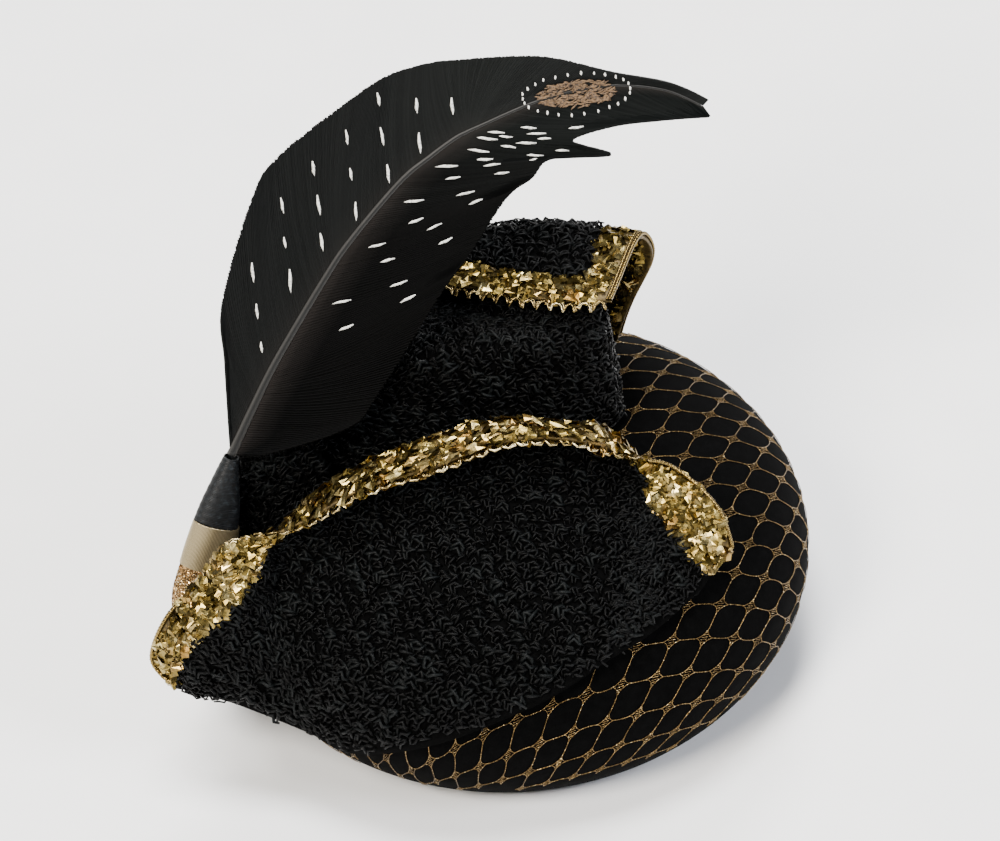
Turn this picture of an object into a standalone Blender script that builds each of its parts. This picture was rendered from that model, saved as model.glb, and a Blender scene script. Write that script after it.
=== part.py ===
"""Evening hat: a rounded felt cap under gold netting, a small crocheted tricorne on it, and one big feather.

Metres, +Z up. The hat rests on the cap's flat rim, the wearer's front is -Y and the feather rises on -X.
"""
import math
from functools import lru_cache

import bmesh
import bpy
from mathutils import Matrix, Vector

MM = 0.001

# The felt cap: a flattened ball, open below for the head.
CAP_RADIUS = 104.0 * MM        # at its widest line
DOME_RISE = 61.5 * MM          # from the widest line up to the top
CAP_DROP = 36.0 * MM           # from the widest line down to the rim
FELT = 2.5 * MM                # wall of the cap
CAP_STEPS = 44                 # sides round the cap
CAP_OUTER_ROWS = 13
CAP_INNER_ROWS = 9

# The gold netting: a lozenge lattice laid flat over the top and smoothed down over the shoulder.
NET_ROW_STEP = 14.7 * MM       # from knot to knot along a row
NET_CROSS_STEP = 15.3 * MM     # from knot to knot across the rows
NET_ROW_TURN = math.radians(14.4)
NET_CROSS_TURN = math.radians(66.9)
NET_START = (54.0 * MM, 23.4 * MM)   # one knot, measured along the felt from the top
NET_REACH = 14                 # rows and columns tried on each side of that knot
NET_STRAND = 1.1 * MM
NET_LIFT = 1.6 * MM            # from the felt to the middle of the strands, at a knot
NET_LOWEST = math.radians(-9.0)      # how far round the shoulder the netting goes
NET_FROM = math.radians(-122.0)      # it starts under the front brim
NET_TO = math.radians(53.0)          # and ends behind the right side
NET_UNDER_HEM = math.radians(2.0)    # how far it runs in under the front brim's hem
NET_MARGIN = 11.0 * MM         # it stops this far from the crown, measured to a lozenge's middle

# The knitted pieces.
KNIT = 3.0 * MM                # wall of the brims and the crown
EDGING = 3.2 * MM              # wall of the gold edging
SEAM_GAP = 1.6 * MM            # between a brim and its edging
SEAM_ROW = 1.2 * MM            # narrow row of faces on each side of that gap
ROW_POWER = 1.45               # how much closer the rows lie towards that gap
PATH_STEP = 1.0 * MM           # spacing of the places that shape a brim from border to border
PATH_PASSES = 130              # how often those places are evened out, which rounds the folds
NECK_DROP = 20.0 * MM          # the front brim turns up this far below its fold at most
NECK_OUT = 6.0 * MM            # and stands this far forward of it there at most
CLEARANCE = 1.055              # least distance of a brim from the cap's middle, as a share of the felt's
BELLY_POWER = 1.9              # how late the front brim leaves the cap
BELLY_STEPS = 10
BASE_LIFT = 3.5 * MM           # from the felt to the lower border of the back brim
FRONT_COLUMNS = 36
FRONT_ROWS = 11
EDGING_ROWS = 4
BACK_BULGE = 0.07              # how far the back brim bows out, as a share of its height
BACK_COLUMNS = 26
BACK_ROWS = 11
BACK_EDGE_ROWS = 3
BACK_END_WIDTH = 13.0 * MM     # gold edging down the back brim's right end

# Front brim, left corner to right corner. Shares of the cap's radius, height over the rim.
# Columns: hem x, y, z; fold x, y, z; free edge x, y, z.
FRONT_STATIONS = (
    (-1.114, -0.571, 0.362, -1.150, -0.552, 0.429, -1.225, -0.514, 0.427),
    (-1.080, -0.575, 0.372, -1.143, -0.552, 0.505, -1.257, -0.476, 0.495),
    (-1.000, -0.620, 0.372, -1.057, -0.571, 0.657, -1.195, -0.476, 0.657),
    (-0.895, -0.676, 0.352, -0.933, -0.571, 0.771, -1.057, -0.438, 0.780),
    (-0.775, -0.735, 0.320, -0.848, -0.505, 0.858, -0.952, -0.419, 0.905),
    (-0.629, -0.819, 0.295, -0.743, -0.343, 0.992, -0.714, -0.448, 0.982),
    (-0.467, -0.924, 0.362, -0.524, -0.276, 1.108, -0.495, -0.433, 1.092),
    (-0.295, -0.981, 0.438, -0.257, -0.229, 1.184, -0.257, -0.405, 1.130),
    (-0.105, -0.990, 0.514, -0.019, -0.190, 1.204, -0.010, -0.355, 1.172),
    (0.076, -0.962, 0.571, 0.200, -0.200, 1.164, 0.190, -0.345, 1.155),
    (0.267, -0.876, 0.629, 0.371, -0.210, 1.095, 0.385, -0.345, 1.074),
    (0.390, -0.810, 0.648, 0.467, -0.438, 0.903, 0.552, -0.324, 0.981),
    (0.505, -0.724, 0.667, 0.552, -0.533, 0.790, 0.695, -0.438, 0.886),
    (0.600, -0.657, 0.686, 0.619, -0.600, 0.714, 0.733, -0.514, 0.752),
)

# Back brim, left corner to right end. Shares of the cap's radius, height over the rim.
# Columns: base x, y; fold x, y, z; free edge x, y, z. The base follows the felt.
BACK_STATIONS = (
    (-0.945, -0.280, -0.975, -0.248, 0.690, -0.985, -0.222, 0.850),
    (-0.800, 0.048, -0.826, 0.076, 1.020, -0.840, 0.086, 1.130),
    (-0.660, 0.324, -0.680, 0.352, 1.260, -0.660, 0.270, 1.350),
    (-0.429, 0.533, -0.438, 0.438, 1.435, -0.420, 0.260, 1.405),
    (-0.095, 0.610, -0.076, 0.467, 1.462, -0.086, 0.181, 1.396),
    (0.190, 0.600, 0.215, 0.467, 1.458, 0.171, 0.086, 1.390),
    (0.429, 0.495, 0.590, 0.420, 1.430, 0.410, 0.048, 1.386),
)

# The crown: a squared oval standing on the cap.
CROWN_MIDDLE = (-16.0 * MM, 9.0 * MM)
CROWN_HALF = (59.0 * MM, 23.0 * MM)
CROWN_TOP = 138.5 * MM
CROWN_LEAN = 7.0 * MM          # how far the top sits behind the base
CROWN_SQUARE = 3.2             # 2 is an ellipse, more is squarer
CROWN_SHOULDER = 0.16          # share of its rows that round over into the top
CROWN_BASE_GAP = 2.0 * MM
CROWN_TAPER = 0.95             # size of the top against the base
CROWN_STEPS = 36
CROWN_ROWS = 10

# The feather, flat in a plane that leans back, measured from the top of its wrapped quill.
FEATHER_LENGTH = 190.0 * MM
FEATHER_FOOT = tuple(share * CAP_RADIUS for share in (-0.9183, -0.2163, 1.1269))
FEATHER_LEAN = 0.45            # back per unit of height
FEATHER_CUP = 0.06             # how far the vanes bend forward, as a share of their width
VANE = 1.0 * MM
SHAFT_FOOT = 1.9 * MM          # radius at the quill
SHAFT_TIP = 0.5 * MM
SHAFT_STEPS = 26
VANE_GAP = 0.45 * MM
VANE_COLUMNS = 34
VANE_ROWS = 3
# Shares of the feather's length. Columns: shaft across, up; outer edge across, up; inner edge across, up.
FEATHER_STATIONS = (
    (0.000, 0.000, 0.001, 0.029, 0.021, -0.014),
    (0.052, 0.092, 0.007, 0.185, 0.213, 0.030),
    (0.105, 0.179, 0.014, 0.302, 0.280, 0.090),
    (0.206, 0.322, 0.090, 0.500, 0.420, 0.282),
    (0.261, 0.391, 0.148, 0.574, 0.479, 0.350),
    (0.362, 0.493, 0.278, 0.660, 0.555, 0.449),
    (0.420, 0.534, 0.352, 0.700, 0.605, 0.481),
    (0.468, 0.564, 0.412, 0.714, 0.643, 0.512),
    (0.491, 0.574, 0.440, 0.717, 0.753, 0.509),
    (0.516, 0.583, 0.475, 0.718, 0.685, 0.541),
    (0.633, 0.621, 0.641, 0.708, 0.762, 0.562),
    (0.752, 0.636, 0.772, 0.662, 0.851, 0.563),
    (0.858, 0.618, 0.872, 0.630, 0.916, 0.560),
    (0.928, 0.579, 0.940, 0.591, 0.940, 0.557),
)

# The wrapped quill, top to bottom: black wrapping, gold metal cloth, glittering cloth.
QUILL_TOP = tuple(share * CAP_RADIUS for share in (-0.9183, -0.2163, 1.1173))
QUILL_FOOT = tuple(share * CAP_RADIUS for share in (-1.1010, -0.3317, 0.5971))
QUILL_LAYER_GAP = 0.4 * MM
QUILL_SIDES = 16
# Columns: share of the way down, half width, half thickness in mm, shift to the right in mm.
QUILL_BLACK = ((0.00, 2.7, 2.6, 0.0), (0.12, 4.0, 3.4, 0.0), (0.40, 6.6, 4.2, 0.6), (0.62, 8.2, 4.6, 1.0))
QUILL_LAME = ((0.62, 8.6, 4.9, 1.2), (0.80, 9.6, 5.0, 1.8), (0.88, 10.0, 5.0, 2.0))
QUILL_GLITTER = ((0.88, 9.6, 4.8, 2.0), (1.00, 9.9, 4.6, 2.4), (1.12, 9.0, 3.8, 2.6))


def clear_scene():
    """Remove every object that the scene starts with."""
    for thing in list(bpy.data.objects):
        bpy.data.objects.remove(thing, do_unlink=True)


def make_material(name, colour, roughness, metallic):
    """Return a Principled material."""
    material = bpy.data.materials.new(name)
    material.use_nodes = True
    shader = material.node_tree.nodes["Principled BSDF"]
    shader.inputs["Base Color"].default_value = (*colour, 1.0)
    shader.inputs["Roughness"].default_value = roughness
    shader.inputs["Metallic"].default_value = metallic
    material.diffuse_color = (*colour, 1.0)
    return material


def add_object(collection, name, mesh, material):
    """Put a mesh in the collection under its own name and material."""
    thing = bpy.data.objects.new(name, mesh)
    mesh.materials.clear()
    mesh.materials.append(material)
    collection.objects.link(thing)
    return thing


def dome_height(x, y, lift=0.0):
    """Height of the felt over the rim at a place in plan."""
    share = 1.0 - (x * x + y * y) / (CAP_RADIUS + lift) ** 2
    return CAP_DROP + (DOME_RISE + lift) * math.sqrt(max(share, 0.0))


def to_dome(point):
    """Split a place into a direction on the dome and its distance from the middle as a share of the felt's."""
    flat = Vector((point.x / CAP_RADIUS, point.y / CAP_RADIUS, (point.z - CAP_DROP) / DOME_RISE))
    return flat.normalized(), flat.length


def from_dome(direction, share):
    """Place for a direction on the dome and a share of the felt's distance."""
    return Vector((direction.x * CAP_RADIUS * share, direction.y * CAP_RADIUS * share,
                   CAP_DROP + direction.z * DOME_RISE * share))


def keep_clear(point):
    """Push a place out until it clears the felt and the netting."""
    direction, share = to_dome(point)
    return from_dome(direction, max(share, CLEARANCE))


def along(table, where):
    """Smooth row of a table at a place from 0 to 1 along it."""
    last = len(table) - 1
    place = min(max(where, 0.0), 1.0) * last
    i = min(int(place), last - 1)
    t = place - i
    a, b = table[max(i - 1, 0)], table[i]
    c, d = table[i + 1], table[min(i + 2, last)]
    row = []
    for p, q, r, s in zip(a, b, c, d):
        curve = 2.0 * q + (r - p) * t + (2.0 * p - 5.0 * q + 4.0 * r - s) * t * t
        row.append(0.5 * (curve + (3.0 * q - p - 3.0 * r + s) * t ** 3))
    return row


def smooth_path(points, corner):
    """Close-spaced smooth path through a few points, and the length along it to one of them."""
    path, marked = [], 0
    for k, (a, b) in enumerate(zip(points, points[1:])):
        if k == corner:
            marked = len(path)
        pieces = max(int((b - a).length / PATH_STEP), 1)
        path += [a.lerp(b, i / pieces) for i in range(pieces)]
    path.append(points[-1])
    for _ in range(PATH_PASSES):
        middle = [(a + b * 2.0 + c) / 4.0 for a, b, c in zip(path, path[1:], path[2:])]
        path = [path[0]] + middle + [path[-1]]
    return path, path_length(path[:marked + 1])


def path_length(path):
    """Whole length of a polyline."""
    return sum((b - a).length for a, b in zip(path, path[1:]))


def path_point(path, distance):
    """Place at a distance along a polyline."""
    for a, b in zip(path, path[1:]):
        step = (b - a).length
        if distance <= step or b is path[-1]:
            return a.lerp(b, min(distance / step, 1.0) if step > 0 else 0.0)
        distance -= step
    return path[-1]


def row_before(end, up, rows):
    """Distance of a row that ends short of a seam, with the last row narrow."""
    row = round(up * rows)
    if row == rows:
        return end - SEAM_GAP
    return (end - SEAM_GAP - SEAM_ROW) * (1.0 - (1.0 - row / (rows - 1)) ** ROW_POWER)


def row_after(start, end, up, rows):
    """Distance of a row that starts at a seam, with the first row narrow."""
    row = round(up * rows)
    if row == 0:
        return start
    return start + SEAM_ROW + (end - start - SEAM_ROW) * ((row - 1) / (rows - 1)) ** ROW_POWER


def grid_mesh(name, columns, rows, place):
    """Grid of quads whose corners come from place(across, up), both from 0 to 1."""
    work = bmesh.new()
    bmesh.ops.create_grid(work, x_segments=columns, y_segments=rows, size=1.0)
    for vert in work.verts:
        vert.co = place((vert.co.x + 1.0) / 2.0, (vert.co.y + 1.0) / 2.0)
    mesh = bpy.data.meshes.new(name)
    work.to_mesh(mesh)
    work.free()
    return mesh


def thicken(thing, wall, offset=0.0):
    """Give an open sheet its wall."""
    solid = thing.modifiers.new("Wall", "SOLIDIFY")
    solid.thickness = wall
    solid.offset = offset
    solid.use_even_offset = True
    thing.data.shade_smooth()
    thing.data.set_sharp_from_angle(angle=math.radians(50.0))


def build_cap(collection, material):
    """Turned shell of the felt cap with a flat rim."""
    low = -math.asin(CAP_DROP / DOME_RISE)
    profile = []
    for k in range(CAP_OUTER_ROWS + 1):
        turn = math.pi / 2 + (low - math.pi / 2) * k / CAP_OUTER_ROWS
        x = 0.0 if k == 0 else CAP_RADIUS * math.cos(turn)
        profile.append((x, CAP_DROP + DOME_RISE * math.sin(turn)))
    inner_radius = CAP_RADIUS - FELT
    inner_rise = DOME_RISE - FELT
    low_inner = -math.asin(CAP_DROP / inner_rise)
    for k in range(CAP_INNER_ROWS + 1):
        turn = low_inner + (math.pi / 2 - low_inner) * k / CAP_INNER_ROWS
        x = 0.0 if k == CAP_INNER_ROWS else inner_radius * math.cos(turn)
        profile.append((x, CAP_DROP + inner_rise * math.sin(turn)))
    mesh = bpy.data.meshes.new("cap")
    mesh.from_pydata([(x, 0.0, z) for x, z in profile], [(k, k + 1) for k in range(len(profile) - 1)], [])
    cap = add_object(collection, "cap", mesh, material)
    turn = cap.modifiers.new("Turn", "SCREW")
    turn.steps = CAP_STEPS
    turn.render_steps = CAP_STEPS
    turn.use_merge_vertices = True
    turn.merge_threshold = 0.0001
    turn.use_smooth_shade = True
    return cap


def arc_table():
    """Distances along the felt from the top, with the turn down from it that each one reaches."""
    rows, distance, turn = [(0.0, 0.0)], 0.0, 0.0
    step = math.radians(0.5)
    while turn < math.pi / 2 + 0.6:
        middle = turn + step / 2
        distance += step * math.hypot(CAP_RADIUS * math.cos(middle), DOME_RISE * math.sin(middle))
        turn += step
        rows.append((distance, turn))
    return rows


def net_place(table, x, y):
    """Place on the felt for a spot of the netting spread flat, and its turn down from the top."""
    distance = math.hypot(x, y)
    k = next(i for i, row in enumerate(table) if row[0] >= distance or i == len(table) - 1)
    low, high = table[max(k - 1, 0)], table[k]
    span = high[0] - low[0]
    turn = low[1] + (high[1] - low[1]) * ((distance - low[0]) / span if span > 0 else 0.0)
    around = math.atan2(y, x)
    radius = (CAP_RADIUS + NET_LIFT) * math.sin(turn)
    height = CAP_DROP + (DOME_RISE + NET_LIFT) * math.cos(turn)
    return Vector((radius * math.cos(around), radius * math.sin(around), height)), math.pi / 2 - turn, around


def net_kept(place, latitude, around):
    """Whether a lozenge of the netting lies where the cap shows."""
    if latitude < NET_LOWEST or not NET_FROM < around < NET_TO:
        return False
    across = abs(place.x - CROWN_MIDDLE[0]) / (CROWN_HALF[0] + NET_MARGIN)
    back = abs(place.y - CROWN_MIDDLE[1]) / (CROWN_HALF[1] + NET_MARGIN)
    if across ** CROWN_SQUARE + back ** CROWN_SQUARE < 1.0:
        return False
    if around > math.atan2(FRONT_STATIONS[-1][1], FRONT_STATIONS[-1][0]):
        return True
    nearest = min((along(FRONT_STATIONS, k / 60.0) for k in range(61)),
                  key=lambda row: abs(math.atan2(row[1], row[0]) - around))
    hem = to_dome(Vector(nearest[:3]) * CAP_RADIUS)[0]
    return latitude < math.asin(hem.z) + NET_UNDER_HEM


def stray_lozenges(work):
    """Lozenges that share no side with the netting's main field, so that no thread would hold them."""
    fields = []
    left = set(work.faces)
    while left:
        reached = [left.pop()]
        field = set(reached)
        while reached:
            near = {other for side in reached.pop().edges for other in side.link_faces} & left
            left -= near
            field |= near
            reached.extend(near)
        fields.append(field)
    main_field = max(fields, key=len)
    return [face for face in work.faces if face not in main_field]


def build_net(collection, material):
    """Lozenge netting cut through between its strands."""
    table = arc_table()
    along_row = Vector((math.cos(NET_ROW_TURN), math.sin(NET_ROW_TURN))) * NET_ROW_STEP
    across = Vector((math.cos(NET_CROSS_TURN), math.sin(NET_CROSS_TURN))) * NET_CROSS_STEP
    count = 2 * NET_REACH
    work = bmesh.new()
    bmesh.ops.create_grid(work, x_segments=count, y_segments=count, size=float(NET_REACH))
    for vert in work.verts:
        spot = Vector(NET_START) + along_row * round(vert.co.x) + across * round(vert.co.y)
        vert.co = (spot.x, spot.y, 0.0)
    dropped = []
    for face in work.faces:
        middle = face.calc_center_median()
        if not net_kept(*net_place(table, middle.x, middle.y)):
            dropped.append(face)
    bmesh.ops.delete(work, geom=dropped, context="FACES")
    bmesh.ops.delete(work, geom=stray_lozenges(work), context="FACES")
    for vert in work.verts:
        vert.co = net_place(table, vert.co.x, vert.co.y)[0]
    mesh = bpy.data.meshes.new("net")
    work.to_mesh(mesh)
    work.free()
    net = add_object(collection, "net", mesh, material)
    strands = net.modifiers.new("Strands", "WIREFRAME")
    strands.thickness = NET_STRAND
    strands.use_boundary = True
    strands.use_replace = True
    strands.use_even_offset = False
    return net


def build_crown(collection, material):
    """Squared oval shell standing on the cap, open below."""
    work = bmesh.new()
    bmesh.ops.create_uvsphere(work, u_segments=CROWN_STEPS, v_segments=CROWN_ROWS * 2, radius=1.0)
    bmesh.ops.delete(work, geom=[v for v in work.verts if v.co.z < -0.001], context="VERTS")
    for vert in work.verts:
        around = math.atan2(vert.co.y, vert.co.x)
        up = math.asin(min(max(vert.co.z, 0.0), 1.0)) / (math.pi / 2)
        turned = 1.0 / (abs(math.cos(around)) ** CROWN_SQUARE
                        + abs(math.sin(around)) ** CROWN_SQUARE) ** (1.0 / CROWN_SQUARE)
        wall_end = 1.0 - 3.0 * CROWN_SHOULDER
        if up <= wall_end:
            rise, reach = up / wall_end * 0.90, 1.0
        else:
            round_over = (up - wall_end) / (1.0 - wall_end)
            rise = 0.90 + 0.10 * math.sin(min(round_over / 0.45, 1.0) * math.pi / 2)
            reach = 1.0 - 0.12 * (1.0 - math.cos(min(round_over / 0.45, 1.0) * math.pi / 2))
            if round_over > 0.45:
                reach *= (1.0 - round_over) / 0.55
        size = reach * (1.0 + (CROWN_TAPER - 1.0) * rise)
        x = CROWN_MIDDLE[0] + CROWN_HALF[0] * turned * math.cos(around) * size
        y = CROWN_MIDDLE[1] + CROWN_HALF[1] * turned * math.sin(around) * size + CROWN_LEAN * rise
        foot = dome_height(x, y) + CROWN_BASE_GAP
        vert.co = (x, y, foot + (CROWN_TOP - foot) * rise)
    mesh = bpy.data.meshes.new("crown")
    work.to_mesh(mesh)
    work.free()
    crown = add_object(collection, "crown", mesh, material)
    thicken(crown, KNIT, -1.0)
    return crown


@lru_cache(maxsize=None)
def front_path(across):
    """Front brim from hem to free edge at a place along it, with the length to its fold."""
    row = along(FRONT_STATIONS, across)
    hem = keep_clear(Vector(row[0:3]) * CAP_RADIUS)
    fold = keep_clear(Vector(row[3:6]) * CAP_RADIUS)
    edge = Vector(row[6:9]) * CAP_RADIUS
    above = max(fold.z - dome_height(fold.x, fold.y), 0.0)
    outward = Vector((fold.x, fold.y - CAP_RADIUS / 2.0, 0.0)).normalized()
    drop = Vector((0.0, 0.0, min(above * 0.75, NECK_DROP)))
    neck = keep_clear(fold + outward * min(above * 0.25, NECK_OUT) - drop)
    start, low = to_dome(hem)
    end, high = to_dome(neck)
    points = []
    for k in range(BELLY_STEPS):
        t = k / BELLY_STEPS
        share = low + (high - low) * t ** BELLY_POWER
        points.append(keep_clear(from_dome(start.lerp(end, t).normalized(), share)))
    points += [neck, fold, edge]
    return smooth_path(points, BELLY_STEPS + 1)


def build_front(collection, knit, gold):
    """Front brim and the gold edging beyond its fold line."""
    def brim_place(across, up):
        path, to_fold = front_path(across)
        return path_point(path, row_before(to_fold, up, FRONT_ROWS))

    def edging_place(across, up):
        path, to_fold = front_path(across)
        return path_point(path, row_after(to_fold, path_length(path), up, EDGING_ROWS))

    mesh = grid_mesh("front_brim", FRONT_COLUMNS, FRONT_ROWS, brim_place)
    brim = add_object(collection, "front_brim", mesh, knit)
    thicken(brim, KNIT)
    mesh = grid_mesh("front_edging", FRONT_COLUMNS, EDGING_ROWS, edging_place)
    edging = add_object(collection, "front_edging", mesh, gold)
    thicken(edging, EDGING)
    return brim, edging


@lru_cache(maxsize=None)
def back_path(across):
    """Back brim from its base over its fold to its free edge, with the length to where the edging starts."""
    row = along(BACK_STATIONS, across)
    base = Vector((row[0] * CAP_RADIUS, row[1] * CAP_RADIUS, 0.0))
    base.z = dome_height(base.x, base.y) + BASE_LIFT
    fold = Vector(row[2:5]) * CAP_RADIUS
    edge = Vector(row[5:8]) * CAP_RADIUS
    outward = Vector((base.x, base.y, 0.0)).normalized() * BACK_BULGE * (fold - base).length
    points = [base, base.lerp(fold, 0.3) + outward * 0.8, base.lerp(fold, 0.65) + outward, fold, edge]
    path, _ = smooth_path(points, 3)
    return path, path_length(path) - BACK_END_WIDTH


def build_back(collection, knit, gold):
    """Back brim and the gold edging along its free edge and down its right end."""
    end_path = [back_path(1.0 - k / 40.0)[0][0] for k in range(11)]
    width_share = BACK_END_WIDTH / (path_length(end_path) / 0.25)
    inner_end = 1.0 - width_share
    gap_share = width_share * SEAM_GAP / BACK_END_WIDTH

    def brim_place(across, up):
        path, to_edging = back_path(across * inner_end - (gap_share if across > 0.999 else 0.0))
        return path_point(path, row_before(to_edging, up, BACK_ROWS))

    mesh = grid_mesh("back_brim", BACK_COLUMNS, BACK_ROWS, brim_place)
    brim = add_object(collection, "back_brim", mesh, knit)
    thicken(brim, KNIT)

    columns = BACK_COLUMNS + 2
    rows = BACK_ROWS + BACK_EDGE_ROWS
    work = bmesh.new()
    bmesh.ops.create_grid(work, x_segments=columns, y_segments=rows, size=1.0)
    dropped = []
    for face in work.faces:
        middle = face.calc_center_median()
        column = (middle.x + 1.0) / 2.0 * columns
        row = (middle.y + 1.0) / 2.0 * rows
        if column < BACK_COLUMNS and row < BACK_ROWS:
            dropped.append(face)
    bmesh.ops.delete(work, geom=dropped, context="FACES")
    for vert in work.verts:
        column = round((vert.co.x + 1.0) / 2.0 * columns)
        row = round((vert.co.y + 1.0) / 2.0 * rows)
        if column <= BACK_COLUMNS:
            across = inner_end * column / BACK_COLUMNS
        else:
            across = inner_end + width_share * (column - BACK_COLUMNS) / 2.0
        path, to_edging = back_path(across)
        if row < BACK_ROWS:
            distance = row_before(to_edging, row / BACK_ROWS, BACK_ROWS)
        else:
            beyond = (row - BACK_ROWS) / BACK_EDGE_ROWS
            distance = row_after(to_edging, to_edging + BACK_END_WIDTH, beyond, BACK_EDGE_ROWS)
        vert.co = path_point(path, distance)
    mesh = bpy.data.meshes.new("back_edging")
    work.to_mesh(mesh)
    work.free()
    edging = add_object(collection, "back_edging", mesh, gold)
    thicken(edging, EDGING)
    return brim, edging


def feather_place(across, up, forward=0.0):
    """Place for a spot of the feather's own plane, in shares of its length."""
    lean = math.hypot(1.0, FEATHER_LEAN)
    rise = up * FEATHER_LENGTH / lean
    x = FEATHER_FOOT[0] + across * FEATHER_LENGTH
    y = FEATHER_FOOT[1] + rise * FEATHER_LEAN
    normal = Vector((0.0, -1.0 / lean, FEATHER_LEAN / lean))
    return Vector((x, y, FEATHER_FOOT[2] + rise)) + normal * forward


def shaft_radius(where):
    """Radius of the shaft from quill to tip."""
    return SHAFT_FOOT + (SHAFT_TIP - SHAFT_FOOT) * where ** 0.8


def build_feather(collection, vane_material, shaft_material):
    """Two vanes beside a tapering shaft."""
    for name, first in (("feather_outer_vane", 2), ("feather_inner_vane", 4)):
        def vane_place(across, up, first=first):
            row = along(FEATHER_STATIONS, across)
            root = Vector((row[0], row[1]))
            tip = Vector((row[first], row[first + 1]))
            out = tip - root
            width = out.length
            ahead = along(FEATHER_STATIONS, across + 0.01)
            behind = along(FEATHER_STATIONS, across - 0.01)
            way = Vector((ahead[0] - behind[0], ahead[1] - behind[1])).normalized()
            slant = max(abs(way.x * out.y - way.y * out.x) / width, 0.25)
            start = min((shaft_radius(across) + VANE_GAP) / FEATHER_LENGTH / width / slant, 0.9)
            spot = root + out * (start + (1.0 - start) * up)
            cup = FEATHER_CUP * width * FEATHER_LENGTH * up * up
            return feather_place(spot.x, spot.y, cup)

        mesh = grid_mesh(name, VANE_COLUMNS, VANE_ROWS, vane_place)
        vane = add_object(collection, name, mesh, vane_material)
        thicken(vane, VANE)

    curve = bpy.data.curves.new("feather_shaft", "CURVE")
    curve.dimensions = "3D"
    curve.bevel_depth = SHAFT_FOOT
    curve.bevel_resolution = 1
    curve.use_fill_caps = True
    spline = curve.splines.new("POLY")
    spline.points.add(SHAFT_STEPS - 1)
    for k in range(SHAFT_STEPS):
        where = k / (SHAFT_STEPS - 1)
        row = along(FEATHER_STATIONS, where * 0.995)
        spline.points[k].co = (*feather_place(row[0], row[1]), 1.0)
        spline.points[k].radius = shaft_radius(where) / SHAFT_FOOT
    shaft = bpy.data.objects.new("feather_shaft", curve)
    curve.materials.append(shaft_material)
    collection.objects.link(shaft)


def build_quill_layer(collection, name, table, material, gap_above):
    """Lofted oval sleeve along the quill."""
    top, foot = Vector(QUILL_TOP), Vector(QUILL_FOOT)
    run = foot - top
    down = run.normalized()
    side = Vector((1.0, 0.0, 0.0)) - down * down.x
    side.normalize()
    front = side.cross(down).normalized()
    rows = 4
    work = bmesh.new()
    bmesh.ops.create_cone(work, cap_ends=True, segments=QUILL_SIDES, radius1=1.0, radius2=1.0, depth=2.0)
    uprights = [e for e in work.edges if abs(e.verts[0].co.z - e.verts[1].co.z) > 1.0]
    bmesh.ops.subdivide_edges(work, edges=uprights, cuts=rows - 1)
    for vert in work.verts:
        t = (1.0 - vert.co.z) / 2.0
        where, half_width, half_thick, shift = along(table, t)
        spot = top + run * where
        if t < 0.001:
            spot += down * gap_above
        spot += side * (vert.co.x * half_width + shift) * MM + front * vert.co.y * half_thick * MM
        vert.co = spot
    mesh = bpy.data.meshes.new(name)
    work.to_mesh(mesh)
    work.free()
    mesh.shade_smooth()
    mesh.set_sharp_from_angle(angle=math.radians(50.0))
    return add_object(collection, name, mesh, material)


def settle(collection):
    """Move everything so that the origin is the middle of the bottom of the whole hat's box."""
    bpy.context.view_layer.update()
    graph = bpy.context.evaluated_depsgraph_get()
    low = Vector((1.0, 1.0, 1.0)) * 10.0
    high = -low
    for thing in collection.objects:
        shape = thing.evaluated_get(graph)
        mesh = shape.to_mesh()
        for vert in mesh.vertices:
            place = shape.matrix_world @ vert.co
            low = Vector(map(min, low, place))
            high = Vector(map(max, high, place))
        shape.to_mesh_clear()
    shift = Matrix.Translation(Vector((-(low.x + high.x) / 2.0, -(low.y + high.y) / 2.0, -low.z)))
    for thing in collection.objects:
        thing.matrix_world = shift @ thing.matrix_world


def main():
    """Build the hat."""
    clear_scene()
    collection = bpy.data.collections.new("evening_hat")
    bpy.context.scene.collection.children.link(collection)
    felt = make_material("black_felt", (0.006, 0.006, 0.007), 0.95, 0.0)
    net_gold = make_material("gold_thread", (0.62, 0.47, 0.22), 0.4, 0.9)
    knit = make_material("black_crochet", (0.012, 0.012, 0.013), 0.7, 0.0)
    gold = make_material("gold_crochet", (0.60, 0.45, 0.18), 0.3, 0.95)
    vane = make_material("black_feather", (0.012, 0.014, 0.016), 0.55, 0.0)
    shaft = make_material("feather_shaft", (0.10, 0.10, 0.11), 0.5, 0.0)
    wrap = make_material("black_wrapping", (0.015, 0.018, 0.022), 0.45, 0.0)
    lame = make_material("gold_metal_cloth", (0.45, 0.38, 0.26), 0.4, 0.8)
    glitter = make_material("glitter_cloth", (0.48, 0.34, 0.16), 0.35, 0.8)
    build_cap(collection, felt)
    build_net(collection, net_gold)
    build_crown(collection, knit)
    build_front(collection, knit, gold)
    build_back(collection, knit, gold)
    build_feather(collection, vane, shaft)
    build_quill_layer(collection, "quill_wrap", QUILL_BLACK, wrap, 0.0)
    build_quill_layer(collection, "lame_band", QUILL_LAME, lame, QUILL_LAYER_GAP)
    build_quill_layer(collection, "glitter_cloth", QUILL_GLITTER, glitter, QUILL_LAYER_GAP)
    settle(collection)


main()
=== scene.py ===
"""Dresses the evening hat: felt cap, gilt netting, crocheted tricorne, painted feather and its wrapped quill.

Metres, +Z up, the wearer's front is -Y. Shapes are worked out round the middle of the cap and then moved to
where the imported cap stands.
"""

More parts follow.
